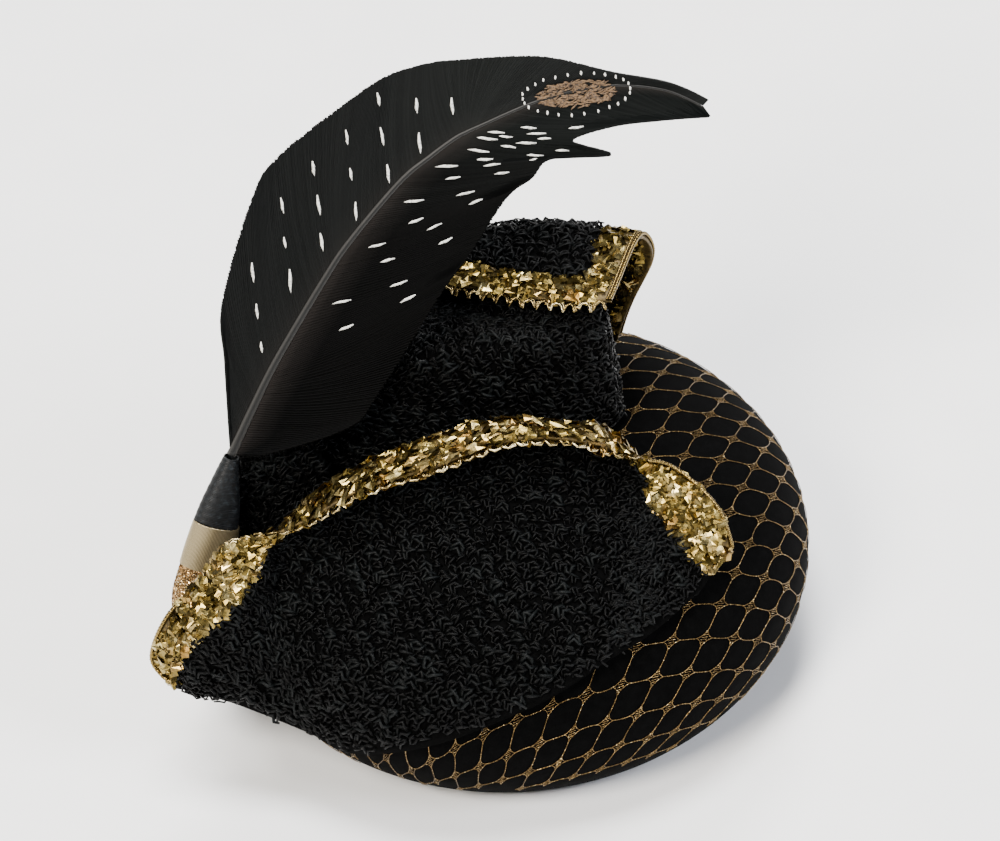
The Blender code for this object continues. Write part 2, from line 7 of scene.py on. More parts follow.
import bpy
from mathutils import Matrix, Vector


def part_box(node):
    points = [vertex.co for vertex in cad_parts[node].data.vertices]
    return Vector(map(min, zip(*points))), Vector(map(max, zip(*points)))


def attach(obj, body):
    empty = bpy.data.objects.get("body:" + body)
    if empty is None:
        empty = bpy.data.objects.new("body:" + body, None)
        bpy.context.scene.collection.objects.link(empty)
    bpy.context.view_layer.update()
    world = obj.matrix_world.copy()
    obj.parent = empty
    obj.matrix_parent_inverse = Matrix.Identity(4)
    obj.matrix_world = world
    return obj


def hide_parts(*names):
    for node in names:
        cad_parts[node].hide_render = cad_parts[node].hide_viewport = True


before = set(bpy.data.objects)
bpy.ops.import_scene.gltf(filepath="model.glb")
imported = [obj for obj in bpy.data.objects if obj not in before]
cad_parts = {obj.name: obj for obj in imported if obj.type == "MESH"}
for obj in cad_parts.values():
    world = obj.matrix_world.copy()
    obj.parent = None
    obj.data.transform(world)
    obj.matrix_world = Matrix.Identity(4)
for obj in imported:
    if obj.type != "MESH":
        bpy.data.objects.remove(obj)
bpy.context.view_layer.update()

import logging
import math
from dataclasses import dataclass, field
from enum import Enum
from typing import Any, Callable, Sequence

import bmesh
import bpy
import numpy as np
from mathutils import Matrix, Vector

Array = np.ndarray
Tree = bpy.types.NodeTree
Socket = bpy.types.NodeSocket
Mesh = bpy.types.Mesh
Material = bpy.types.Material
Thing = bpy.types.Object
Profile = Callable[[Array], Array]          # a distance at places across a sheet
Choice = Callable[[Array, Array], Array]    # numbers or a mask at pairs of places

MM = 0.001
LOG = logging.getLogger("evening_hat")
_low, _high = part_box("cap")
HAT_PLACE = np.array([(_low.x + _high.x) / 2, (_low.y + _high.y) / 2, 0.0])

# Front brim, left corner to right corner, in shares of the cap's radius.
# Columns: hem x, y, z; fold x, y, z; free edge x, y, z.
FRONT_STATIONS = (
    (-1.114, -0.571, 0.362, -1.150, -0.552, 0.429, -1.225, -0.514, 0.427),
    (-1.080, -0.575, 0.372, -1.143, -0.552, 0.505, -1.257, -0.476, 0.495),
    (-1.000, -0.620, 0.372, -1.057, -0.571, 0.657, -1.195, -0.476, 0.657),
    (-0.895, -0.676, 0.352, -0.933, -0.571, 0.771, -1.057, -0.438, 0.780),
    (-0.775, -0.735, 0.320, -0.848, -0.505, 0.858, -0.952, -0.419, 0.905),
    (-0.629, -0.819, 0.295, -0.743, -0.343, 0.992, -0.714, -0.448, 0.982),
    (-0.467, -0.924, 0.362, -0.524, -0.276, 1.108, -0.495, -0.433, 1.092),
    (-0.295, -0.981, 0.438, -0.257, -0.229, 1.184, -0.257, -0.405, 1.130),
    (-0.105, -0.990, 0.514, -0.019, -0.190, 1.204, -0.010, -0.355, 1.172),
    (0.076, -0.962, 0.571, 0.200, -0.200, 1.164, 0.190, -0.345, 1.155),
    (0.267, -0.876, 0.629, 0.371, -0.210, 1.095, 0.385, -0.345, 1.074),
    (0.390, -0.810, 0.648, 0.467, -0.438, 0.903, 0.552, -0.324, 0.981),
    (0.505, -0.724, 0.667, 0.552, -0.533, 0.790, 0.695, -0.438, 0.886),
    (0.600, -0.657, 0.686, 0.619, -0.600, 0.714, 0.733, -0.514, 0.752),
)

# Back brim, left corner to right end. Columns: base x, y; fold x, y, z; free edge x, y, z.
BACK_STATIONS = (
    (-0.945, -0.280, -0.975, -0.248, 0.690, -0.985, -0.222, 0.850),
    (-0.800, 0.048, -0.826, 0.076, 1.020, -0.840, 0.086, 1.130),
    (-0.660, 0.324, -0.680, 0.352, 1.260, -0.660, 0.270, 1.350),
    (-0.429, 0.533, -0.438, 0.438, 1.435, -0.420, 0.260, 1.405),
    (-0.095, 0.610, -0.076, 0.467, 1.462, -0.086, 0.181, 1.396),
    (0.190, 0.600, 0.215, 0.467, 1.458, 0.171, 0.086, 1.390),
    (0.429, 0.495, 0.590, 0.420, 1.430, 0.410, 0.048, 1.386),
)

# The feather, in shares of its length.
# Columns: shaft across, up; outer edge across, up; inner edge across, up.
FEATHER_STATIONS = (
    (0.000, 0.000, 0.001, 0.029, 0.021, -0.014),
    (0.052, 0.092, 0.007, 0.185, 0.213, 0.030),
    (0.105, 0.179, 0.014, 0.302, 0.280, 0.090),
    (0.206, 0.322, 0.090, 0.500, 0.420, 0.282),
    (0.261, 0.391, 0.148, 0.574, 0.479, 0.350),
    (0.362, 0.493, 0.278, 0.660, 0.555, 0.449),
    (0.420, 0.534, 0.352, 0.700, 0.605, 0.481),
    (0.468, 0.564, 0.412, 0.714, 0.643, 0.512),
    (0.491, 0.574, 0.440, 0.717, 0.753, 0.509),
    (0.516, 0.583, 0.475, 0.718, 0.685, 0.541),
    (0.633, 0.621, 0.641, 0.708, 0.762, 0.562),
    (0.752, 0.636, 0.772, 0.662, 0.851, 0.563),
    (0.858, 0.618, 0.872, 0.630, 0.916, 0.560),
    (0.928, 0.579, 0.940, 0.591, 0.940, 0.557),
)


def linear(code: str) -> tuple[float, float, float, float]:
    """Turn an sRGB hex value into a linear colour.

    Args:
        code: Six hex digits, with or without a leading hash.

    Returns:
        Linear red, green, blue and an alpha of 1.
    """
    digits = code.lstrip("#")
    parts = [int(digits[k:k + 2], 16) / 255 for k in (0, 2, 4)]
    turned = [p / 12.92 if p <= 0.04045 else ((p + 0.055) / 1.055) ** 2.4 for p in parts]
    return (*turned, 1.0)


def add_node(tree: Tree, kind: str, inputs: dict[Any, Any] | None = None,
             stops: Sequence[tuple[float, str]] = (), **settings: Any) -> bpy.types.Node:
    """Add a node with its settings, values and links.

    Args:
        tree: The node tree.
        kind: The node's type name.
        inputs: Socket name or index to a value, or to the socket or the node that feeds it.
        stops: Place and sRGB hex value of each colour, on a colour ramp.
        settings: Properties of the node.

    Returns:
        The new node.
    """
    node = tree.nodes.new(kind)
    for name, value in settings.items():
        setattr(node, name, value)
    for name, value in (inputs or {}).items():
        value = value.outputs[0] if isinstance(value, bpy.types.Node) else value
        if isinstance(value, Socket):
            tree.links.new(value, node.inputs[name])
        else:
            node.inputs[name].default_value = value
    if stops:
        marks = node.color_ramp.elements
        while len(marks) < len(stops):
            marks.new(1.0)
        for mark, (place, code) in zip(marks, stops):
            mark.position = place
            mark.color = linear(code)
    return node


def unit(rows: Array) -> Array:
    """Rows scaled to length one."""
    return rows / np.maximum(np.linalg.norm(rows, axis=-1, keepdims=True), 1e-12)


def along(table: Sequence[Sequence[float]], where: Array) -> Array:
    """Smooth rows of a table at places from 0 to 1 along it.

    Args:
        table: Rows of numbers.
        where: Places along the table.

    Returns:
        One row of numbers for each place.
    """
    rows = np.asarray(table, float)
    last = len(rows) - 1
    place = np.clip(np.asarray(where, float), 0.0, 1.0) * last
    i = np.minimum(place.astype(int), last - 1)
    t = (place - i)[:, None]
    a, b = rows[np.maximum(i - 1, 0)], rows[i]
    c, d = rows[i + 1], rows[np.minimum(i + 2, last)]
    curve = 2 * b + (c - a) * t + (2 * a - 5 * b + 4 * c - d) * t ** 2
    return 0.5 * (curve + (3 * b - a - 3 * c + d) * t ** 3)


def resampled(path: Array, count: int) -> tuple[Array, float]:
    """Even-spaced copy of a path.

    Args:
        path: Places along the path.
        count: How many places the copy has.

    Returns:
        The copy and the path's length.
    """
    run = np.concatenate([[0.0], np.cumsum(np.linalg.norm(np.diff(path, axis=0), axis=1))])
    spots = np.linspace(0.0, run[-1], count)
    return np.stack([np.interp(spots, run, path[:, k]) for k in range(3)], axis=1), float(run[-1])


def grid_faces(columns: int, rows: int, closed: bool = False) -> list[tuple[int, int, int, int]]:
    """Quads of a grid whose corners are stored column by column.

    Args:
        columns: Number of columns of corners.
        rows: Number of rows of corners.
        closed: Whether the last column joins the first.

    Returns:
        Corner numbers of each quad.
    """
    faces = []
    for i in range(columns if closed else columns - 1):
        j = (i + 1) % columns
        faces += [(i * rows + k, j * rows + k, j * rows + k + 1, i * rows + k + 1) for k in range(rows - 1)]
    return faces


def plain_mesh(name: str, points: Array, faces: Sequence[Sequence[int]] = (),
               edges: Sequence[Sequence[int]] = (), placed: bool = True) -> Mesh:
    """Mesh from places round the cap's middle.

    Args:
        name: Name of the mesh.
        points: Places.
        faces: Corner numbers of each face.
        edges: End numbers of each loose edge.
        placed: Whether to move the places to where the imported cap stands.

    Returns:
        The mesh.
    """
    mesh = bpy.data.meshes.new(name)
    spots = np.asarray(points, float) + (HAT_PLACE if placed else 0.0)
    mesh.from_pydata(spots.tolist(), [tuple(map(int, e)) for e in edges],
                     [tuple(map(int, f)) for f in faces])
    mesh.update()
    return mesh


def store(mesh: Mesh, name: str, values: Array) -> None:
    """Give a mesh's points a named number or vector.

    Args:
        mesh: The mesh.
        name: The attribute's name.
        values: One number or one vector for each point.
    """
    values = np.asarray(values, np.float32)
    kind = "FLOAT_VECTOR" if values.ndim == 2 else "FLOAT"
    attribute = mesh.attributes.new(name, kind, "POINT")
    attribute.data.foreach_set("vector" if values.ndim == 2 else "value", values.ravel())


def face_out(mesh: Mesh, doubles: bool = False) -> None:
    """Turn the faces of a closed mesh outwards and shade it smooth.

    Args:
        mesh: The mesh.
        doubles: Whether corners that share a place are merged first.
    """
    work = bmesh.new()
    work.from_mesh(mesh)
    if doubles:
        bmesh.ops.remove_doubles(work, verts=work.verts, dist=0.01 * MM)
    bmesh.ops.recalc_face_normals(work, faces=work.faces)
    work.to_mesh(mesh)
    work.free()
    mesh.shade_smooth()


def new_object(name: str, mesh: Mesh, material: Material | None = None) -> Thing:
    """Put a mesh in the scene under its own name.

    Args:
        name: The object's name.
        mesh: Its mesh.
        material: What it is made of.

    Returns:
        The object.
    """
    thing = bpy.data.objects.new(name, mesh)
    if material is not None:
        mesh.materials.clear()
        mesh.materials.append(material)
    bpy.context.scene.collection.objects.link(thing)
    return thing


def hand_in(thing: Thing, slot: str, *nodes: str) -> Thing:
    """Let a finished piece ride with the hat and stand for its solids.

    Args:
        thing: The piece.
        slot: A material slot. Not used.
        nodes: The solids that it stands for.

    Returns:
        The piece.
    """
    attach(thing, "root")
    if nodes:
        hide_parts(*nodes)
    thing.data.calc_loop_triangles()
    LOG.info("%s: %d triangles", thing.name, len(thing.data.loop_triangles))
    return thing


# Finishes

Stops = Sequence[tuple[float, str]]         # place and sRGB hex value of each colour
Pattern = str | tuple[float, float]         # a stored number's name, or a patch's mm and octaves


@dataclass(frozen=True)
class Finish:
    """What every finish shares: its shader's constants, its colours, and a relief where it isn't smooth."""

    name: str = "finish"
    roughness: float = 0.5
    metallic: float = 0.0
    ior: float = 1.5
    specular: float = 0.5
    sheen: float = 0.0
    cause: Pattern = (1.0, 3.0)     # what picks the colour
    tones: Stops = ((0.0, "#808080"),)
    grain: Pattern | None = None    # what raises the surface
    strength: float = 0.5           # how strongly the relief shades
    depth: float = 0.2              # how deep it is in mm
    scuffs: tuple[float, ...] = ()  # patch's mm and octaves, least and most roughness, where it isn't even

    def read(self, tree: Tree, pattern: Pattern) -> Socket:
        """A number that changes over the surface.

        Args:
            tree: The material's tree.
            pattern: Where the number comes from.

        Returns:
            The stored number, or soft noise from 0 to 1 on Object coordinates.
        """
        if isinstance(pattern, str):
            return add_node(tree, "ShaderNodeAttribute", attribute_name=pattern).outputs["Fac"]
        size, octaves = pattern
        places = add_node(tree, "ShaderNodeTexCoord").outputs["Object"]
        return add_node(tree, "ShaderNodeTexNoise", {
            "Vector": places, "Scale": 1.0 / (size * MM), "Detail": octaves}).outputs["Fac"]

    def colour(self, tree: Tree) -> Socket:
        """Colour of the surface."""
        picked = self.read(tree, self.cause)
        return add_node(tree, "ShaderNodeValToRGB", {"Fac": picked}, self.tones).outputs["Color"]

    def relief(self, tree: Tree) -> Socket | None:
        """Height of the surface, or None where it is smooth."""
        return None if self.grain is None else self.read(tree, self.grain)

    def gloss(self, tree: Tree) -> float | Socket:
        """Roughness of the surface, as a number, or as a socket where it is scuffed."""
        if not self.scuffs:
            return self.roughness
        size, octaves, least, most = self.scuffs
        patch = self.read(tree, (size, octaves))
        return add_node(tree, "ShaderNodeMapRange", {
            "Value": patch, "To Min": least, "To Max": most}).outputs["Result"]

    def material(self) -> Material:
        """Build the material.

        Returns:
            The material, made once for each name.
        """
        made = bpy.data.materials.get(self.name)
        if made is not None:
            return made
        made = bpy.data.materials.new(self.name)
        made.use_nodes = True
        tree = made.node_tree
        tree.nodes.clear()
        shader = add_node(tree, "ShaderNodeBsdfPrincipled", {
            "Base Color": self.colour(tree), "Roughness": self.gloss(tree), "Metallic": self.metallic,
            "IOR": self.ior, "Specular IOR Level": self.specular, "Sheen Weight": self.sheen})
        height = self.relief(tree)
        if height is not None:
            bump = add_node(tree, "ShaderNodeBump", {
                "Height": height, "Strength": self.strength, "Distance": self.depth * MM})
            tree.links.new(bump.outputs["Normal"], shader.inputs["Normal"])
        add_node(tree, "ShaderNodeOutputMaterial", {"Surface": shader.outputs["BSDF"]})
        return made


@dataclass(frozen=True)
class BlackFelt(Finish):
    """Blocked wool felt, brushed: matt black, cloudy over 3 mm, with fibres that catch a little light."""

    name: str = "black_wool_felt"
    roughness: float = 0.95
    specular: float = 0.04
    cause: Pattern = (3.0, 6.0)
    tones: Stops = ((0.3, "#010101"), (0.62, "#030303"), (0.75, "#050505"))
    grain: Pattern = (0.6, 4.0)     # fibres of about half a millimetre


@dataclass(frozen=True)
class GiltThread(Finish):
    """Metallised thread of the netting: thin gilt film wound on a core, so it glints in short pieces, with
    painted glints in its colour too.
    """

    name: str = "gilt_netting_thread"
    roughness: float = 0.34
    metallic: float = 0.85
    cause: Pattern = (0.55, 2.0)    # gold that turns pale and brown every half millimetre or so; the palest patches are painted glints
    tones: Stops = ((0.30, "#3a2b12"), (0.50, "#6b5430"), (0.62, "#9c8050"), (0.72, "#ecd8aa"))


@dataclass(frozen=True)
class BlackRaffia(Finish):
    """Viscose raffia: flat ribbon with lengthwise fibres and a soft gloss, each strand its own black."""

    name: str = "black_raffia"
    specular: float = 0.09
    cause: Pattern = "tone"
    tones: Stops = ((0.0, "#010101"), (0.55, "#030303"), (0.85, "#060707"), (1.0, "#0e1010"))
    grain: Pattern = (0.35, 3.0)    # fibres of a third of a millimetre
    strength: float = 0.6
    depth: float = 0.25
    scuffs: tuple[float, ...] = (1.3, 3.0, 0.25, 0.6)


@dataclass(frozen=True)
class BlackGround(Finish):
    """The dark inside of the crochet, seen between the stitches: almost black, with uneven strands."""

    name: str = "black_raffia_ground"
    roughness: float = 0.9
    specular: float = 0.04
    cause: Pattern = (1.5, 3.0)
    tones: Stops = ((0.3, "#010101"), (0.7, "#030303"))
    grain: Pattern = (1.2, 3.0)


@dataclass(frozen=True)
class GiltRibbon(Finish):
    """Metallised film ribbon, crocheted and crushed: hard little facets in pale gold, olive and amber."""

    name: str = "gilt_film_ribbon"
    metallic: float = 1.0
    cause: Pattern = "tone"
    tones: Stops = ((0.0, "#453817"), (0.25, "#897641"), (0.5, "#a38f53"), (0.7, "#635325"),
                    (0.86, "#ccba80"), (0.96, "#84642f"), (1.0, "#a8925a"))
    cloud: Stops = ((0.35, "#bfb59c"), (0.6, "#ffffff"))
    strength: float = 0.2
    scuffs: tuple[float, ...] = (1.1, 2.0, 0.17, 0.38)      # mostly mirror-like, duller in places
    crease: float = 2.2             # mm from crease to crease where the film was crushed

    def colour(self, tree: Tree) -> Socket:
        """Each facet's own gold, shaded over a few millimetres."""
        shade = add_node(tree, "ShaderNodeValToRGB", {"Fac": self.read(tree, (2.5, 2.0))}, self.cloud)
        mixed = add_node(tree, "ShaderNodeMix", {0: 1.0, 6: super().colour(tree), 7: shade},
                         data_type="RGBA", blend_type="MULTIPLY")
        return mixed.outputs[2]

    def relief(self, tree: Tree) -> Socket:
        """Sharp creases."""
        places = add_node(tree, "ShaderNodeTexCoord").outputs["Object"]
        return add_node(tree, "ShaderNodeTexVoronoi", {"Vector": places, "Scale": 1.0 / (self.crease * MM)},
                        feature="F1").outputs["Distance"]


@dataclass(frozen=True)
class GiltCord(Finish):
    """Twisted gilt cord of the edging's borders: champagne gold, smoother than the crushed ribbon."""

    name: str = "gilt_border_cord"
    roughness: float = 0.26
    metallic: float = 1.0
    cause: Pattern = "tone"
    tones: Stops = ((0.0, "#7e6a3e"), (0.6, "#a38f62"), (1.0, "#c6b68c"))


@dataclass(frozen=True)
class GiltGround(Finish):
    """The inside of the gilt crochet, seen between the stitches: brown gold, darkened as painted shade, with
    uneven strands.
    """

    name: str = "gilt_ground"
    metallic: float = 0.6
    cause: Pattern = (1.4, 3.0)
    # brown gold darker than the ribbon: painted shade in the gaps
    tones: Stops = ((0.3, "#2a210e"), (0.7, "#675428"))
    grain: Pattern = (1.4, 2.0)


@dataclass(frozen=True)
class FeatherBarb(Finish):
    """Dyed goose feather: charcoal barbs with a cold satin sheen, browner where they leave the shaft, with
    painted shade towards the foot.
    """

    name: str = "black_feather_barb_outer"
    roughness: float = 0.55
    specular: float = 0.1
    cause: Pattern = "tone"
    tones: Stops = ((0.0, "#080a09"), (0.5, "#0b0d0c"), (1.0, "#101211"))
    grain: Pattern = (0.5, 2.0)     # barbules, too fine to show singly, drawn as a half-millimetre grain
    strength: float = 0.3
    depth: float = 0.08
    painted_foot_shade: str = "#b0b0b0"     # painted shade that dims the feather at its foot
    painted_low_shade: str = "#d8d8d8"      # and painted shade a third of the way up
    brown: str = "#3a3532"
    warm: float = 0.1               # how much of the brown shows beside the shaft

    def colour(self, tree: Tree) -> Socket:
        """Charcoal that varies from barb to barb, darkened low down by painted shade, and a browner band
        beside the shaft.
        """
        # painted shade: the colour is multiplied darker towards the feather's foot
        low = add_node(tree, "ShaderNodeValToRGB", {"Fac": self.read(tree, "rise")},
                       ((0.0, self.painted_foot_shade), (0.3, self.painted_low_shade), (0.62, "#ffffff")))
        painted_shade_mix = add_node(tree, "ShaderNodeMix", {0: 1.0, 6: super().colour(tree), 7: low},
                          data_type="RGBA", blend_type="MULTIPLY")
        band = add_node(tree, "ShaderNodeValToRGB", {"Fac": self.read(tree, "reach")},
                        ((0.0, "#ffffff"), (0.10, "#a0a0a0"), (0.28, "#000000")))
        share = add_node(tree, "ShaderNodeMath", {0: band, 1: self.warm}, operation="MULTIPLY")
        mixed = add_node(tree, "ShaderNodeMix", {
            0: share, 6: painted_shade_mix.outputs[2], 7: linear(self.brown)}, data_type="RGBA")
        return mixed.outputs[2]


@dataclass(frozen=True)
class InnerBarb(FeatherBarb):
    """The same feather's inner vane, turned from the light: duller, with deep painted shade low down, and
    browner.
    """

    name: str = "black_feather_barb_inner"
    specular: float = 0.04
    painted_foot_shade: str = "#101010"
    painted_low_shade: str = "#484848"
    warm: float = 0.3


@dataclass(frozen=True)
class FeatherShaft(Finish):
    """Dyed horn of the shaft: smooth grey-black, dark along its ridge, with paler sides and a fine grain."""

    name: str = "feather_shaft_horn"
    roughness: float = 0.42
    specular: float = 0.2
    cause: Pattern = "side"
    tones: Stops = ((0.0, "#141414"), (0.45, "#1d1d1c"), (0.75, "#3c3b39"), (1.0, "#2b2a29"))
    grain: Pattern = (0.7, 3.0)
    strength: float = 0.25
    depth: float = 0.1


@dataclass(frozen=True)
class Paint(Finish):
    """Acrylic paint dabbed on the barbs: matt, thin and thick over two thirds of a millimetre."""

    name: str = "white_paint"
    roughness: float = 0.6
    cause: Pattern = (0.7, 3.0)
    tones: Stops = ((0.38, "#b9b9b2"), (0.52, "#f1efe6"))
    grain: Pattern = (0.5, 2.0)


@dataclass(frozen=True)
class TanPaint(Paint):
    """The same paint in tan, dabbed thinly inside the ring of white dabs."""

    name: str = "tan_paint"
    tones: Stops = ((0.38, "#33261a"), (0.52, "#6b5236"))


@dataclass(frozen=True)
class BlackSatin(Finish):
    """Wrapping thread: close turns of glossy cold black thread, with paler bluish patches painted as glints.
    """

    name: str = "black_wrapping_thread"
    roughness: float = 0.42
    specular: float = 0.18
    sheen: float = 0.01
    cause: Pattern = (1.4, 5.0)
    # near-black thread, and paler bluish tones that are painted glints
    tones: Stops = ((0.35, "#050607"), (0.55, "#0c0e10"), (0.68, "#1a1f22"), (0.8, "#2b3235"))
    strength: float = 0.35
    depth: float = 0.15
    pitch: float = 0.6              # mm from thread to thread, 0.45 on the quill, coarser so that they show

    def relief(self, tree: Tree) -> Socket:
        """Round threads."""
        turns = add_node(tree, "ShaderNodeMath", {
            0: self.read(tree, "down"), 1: 2 * math.pi / (self.pitch * MM)}, operation="MULTIPLY")
        return add_node(tree, "ShaderNodeMath", {0: turns}, operation="SINE").outputs[0]


@dataclass(frozen=True)
class GiltLame(Finish):
    """Lame cloth: champagne metal threads in a fine twill over a brown ground."""

    name: str = "champagne_lame"
    roughness: float = 0.34
    metallic: float = 0.85
    tones: Stops = ((0.2, "#4c402b"), (0.5, "#8a7a58"), (0.8, "#d2c29a"))
    depth: float = 0.12
    pitch: float = 0.65             # mm from rib to rib, 0.4 on the cloth, coarser so that they show

    def relief(self, tree: Tree) -> Socket:
        """Two sets of ribs that cross, from 0 to 1."""
        waves = []
        for down, across in ((1.0, 1.0), (1.0, -0.6)):
            parts = [add_node(tree, "ShaderNodeMath", {
                0: self.read(tree, name), 1: share * 2 * math.pi / (self.pitch * MM)}, operation="MULTIPLY")
                for name, share in (("down", down), ("round", across))]
            total = add_node(tree, "ShaderNodeMath", dict(enumerate(parts)), operation="ADD")
            waves.append(add_node(tree, "ShaderNodeMath", {0: total}, operation="SINE").outputs[0])
        product = add_node(tree, "ShaderNodeMath", {0: waves[0], 1: waves[1]}, operation="MULTIPLY")
        return add_node(tree, "ShaderNodeMath", {0: product, 1: 0.5, 2: 0.5},
                        operation="MULTIPLY_ADD").outputs[0]

    def colour(self, tree: Tree) -> Socket:
        """Pale on the ribs."""
        return add_node(tree, "ShaderNodeValToRGB", {"Fac": self.relief(tree)}, self.tones).outputs["Color"]


@dataclass(frozen=True)
class GlitterFlake(Finish):
    """Glitter: stamped film flakes in copper and gold, each at its own angle and with its own tone."""

    name: str = "copper_gold_glitter"
    roughness: float = 0.16
    metallic: float = 1.0
    cause: Pattern = "tone"
    tones: Stops = ((0.0, "#6a4c2c"), (0.3, "#9f7c4c"), (0.6, "#c4a26e"), (0.85, "#eedbb4"), (1.0, "#a56f3e"))


@dataclass(frozen=True)
class GlitterGround(Finish):
    """The glued cloth under the glitter: bronze grains of half a millimetre."""

    name: str = "glitter_ground"
    roughness: float = 0.55
    metallic: float = 0.5
    cause: Pattern = (0.5, 2.0)
    tones: Stops = ((0.3, "#3d2a14"), (0.55, "#8a6635"), (0.7, "#d2ab6c"))
    grain: Pattern = (0.5, 2.0)


@dataclass(frozen=True)
class StudioPaper(Finish):
    """Matt paper roll that the hat stands on: white with the faintest mottle."""

    name: str = "studio_paper"
    roughness: float = 0.9
    specular: float = 0.1
    cause: Pattern = (40.0, 2.0)
    tones: Stops = ((0.3, "#fafaf9"), (0.7, "#fdfdfc"))


# Geometry Nodes tools


class NodeTool:
    """A Geometry Nodes tree with named inputs, run once on an object and turned into a plain mesh."""

    def __init__(self, name: str) -> None:
        """Start an empty tree.

        Args:
            name: Name of the tree.
        """
        self.tree = bpy.data.node_groups.new(name, "GeometryNodeTree")
        self.keys: dict[str, str] = {}
        face = self.tree.interface
        face.new_socket("Geometry", in_out="INPUT", socket_type="NodeSocketGeometry")
        face.new_socket("Geometry", in_out="OUTPUT", socket_type="NodeSocketGeometry")
        self.source = add_node(self.tree, "NodeGroupInput")
        self.target = add_node(self.tree, "NodeGroupOutput")

    def size(self, name: str, kind: str = "Float", value: Any = None) -> Socket:
        """Add a named input.

        Args:
            name: The input's name.
            kind: Float, Int, Object or Material.
            value: Its default.

        Returns:
            The socket that carries it.
        """
        socket = self.tree.interface.new_socket(name, in_out="INPUT", socket_type="NodeSocket" + kind)
        if value is not None:
            socket.default_value = value
        self.keys[name] = socket.identifier
        return self.source.outputs[name]

    def close(self, geometry: Socket) -> None:
        """End the tree: real geometry and its material.

        Args:
            geometry: What was made.
        """
        real = add_node(self.tree, "GeometryNodeRealizeInstances", {"Geometry": geometry})
        dressed = add_node(self.tree, "GeometryNodeSetMaterial",
                           {"Geometry": real, "Material": self.size("Material", "Material")})
        self.tree.links.new(dressed.outputs["Geometry"], self.target.inputs["Geometry"])

    def set_down(self, seed: Socket, inputs: dict[str, Any]) -> None:
        """Put shapes on points, give each a tone of its own, and end the tree.

        Args:
            seed: Fixes the chance.
            inputs: Points, shape, rotation and size.
        """
        placed = add_node(self.tree, "GeometryNodeInstanceOnPoints", inputs)
        shade = add_node(self.tree, "FunctionNodeRandomValue", {2: 0.0, 3: 1.0, "Seed": seed},
                         data_type="FLOAT")
        toned = add_node(self.tree, "GeometryNodeStoreNamedAttribute", {
            "Geometry": placed.outputs["Instances"], "Name": "tone", "Value": shade.outputs[1]},
            data_type="FLOAT", domain="INSTANCE")
        self.close(toned.outputs["Geometry"])

    def run(self, name: str, mesh: Mesh, material: Material,
            values: dict[str, Any]) -> Thing:
        """Run the tree on a mesh.

        Args:
            name: Name of the finished object.
            mesh: What the tree starts from.
            material: The finished object's material.
            values: Input name to value.

        Returns:
            An object with a plain mesh and no modifier.
        """
        start = new_object(name + "_start", mesh)
        work = start.modifiers.new("Nodes", "NODES")
        work.node_group = self.tree
        for key, value in {**values, "Material": material}.items():
            work[self.keys[key]] = value
        graph = bpy.context.evaluated_depsgraph_get()
        made = bpy.data.meshes.new_from_object(start.evaluated_get(graph), preserve_all_data_layers=True,
                                               depsgraph=graph)
        start.modifiers.remove(work)
        bpy.data.objects.remove(start, do_unlink=True)
        made.name = name
        return new_object(name, made, material)


class ScatterTool(NodeTool):
    """Sets one of three shapes on every point, turned to its directions and a little at random."""

    def __init__(self) -> None:
        """Build the tree."""
        super().__init__("scatter_shapes")
        tree = self.tree
        shapes = [add_node(tree, "GeometryNodeObjectInfo",
                           {"Object": self.size(name, "Object"), "As Instance": True})
                  for name in ("First shape", "Second shape", "Third shape")]
        joined = add_node(tree, "GeometryNodeJoinGeometry")
        for shape in shapes:
            tree.links.new(shape.outputs["Geometry"], joined.inputs["Geometry"])
        lean, turn = self.size("Lean"), self.size("Turn")
        spread, seed = self.size("Size spread"), self.size("Seed", "Int")
        facing, row, grow = (add_node(tree, "GeometryNodeInputNamedAttribute", {"Name": name},
                                      data_type="FLOAT_VECTOR").outputs["Attribute"]
                             for name in ("facing", "along", "grow"))
        up = add_node(tree, "FunctionNodeAlignRotationToVector", {"Vector": facing}, axis="Z")
        turned = add_node(tree, "FunctionNodeAlignRotationToVector",
                          {"Rotation": up.outputs["Rotation"], "Vector": row}, axis="X", pivot_axis="Z")
        most = add_node(tree, "ShaderNodeCombineXYZ", {"X": lean, "Y": lean, "Z": turn})
        least = add_node(tree, "ShaderNodeVectorMath", {0: most, "Scale": -1.0}, operation="SCALE")
        wild = add_node(tree, "FunctionNodeRandomValue",
                        {0: least, 1: most, "Seed": seed}, data_type="FLOAT_VECTOR")
        euler = add_node(tree, "FunctionNodeEulerToRotation", {"Euler": wild})
        rotation = add_node(tree, "FunctionNodeRotateRotation", {
            "Rotation": turned.outputs["Rotation"], "Rotate By": euler}, rotation_space="LOCAL")
        more = add_node(tree, "ShaderNodeMath", {0: 1.0, 1: spread}, operation="ADD")
        less = add_node(tree, "ShaderNodeMath", {0: 1.0, 1: spread}, operation="SUBTRACT")
        size = add_node(tree, "FunctionNodeRandomValue",
                        {2: less, 3: more, "ID": add_node(tree, "GeometryNodeInputIndex").outputs[0],
                         "Seed": seed}, data_type="FLOAT")
        scale = add_node(tree, "ShaderNodeVectorMath", {0: grow, "Scale": size.outputs[1]},
                         operation="SCALE")
        choice = add_node(tree, "FunctionNodeRandomValue", {4: 0, 5: 2, "Seed": seed}, data_type="INT")
        spots = add_node(tree, "GeometryNodeMeshToPoints", {"Mesh": self.source.outputs["Geometry"]})
        self.set_down(seed, {
            "Points": spots.outputs["Points"], "Instance": joined.outputs["Geometry"],
            "Pick Instance": True,
            "Instance Index": choice.outputs[2], "Rotation": rotation.outputs["Rotation"], "Scale": scale})


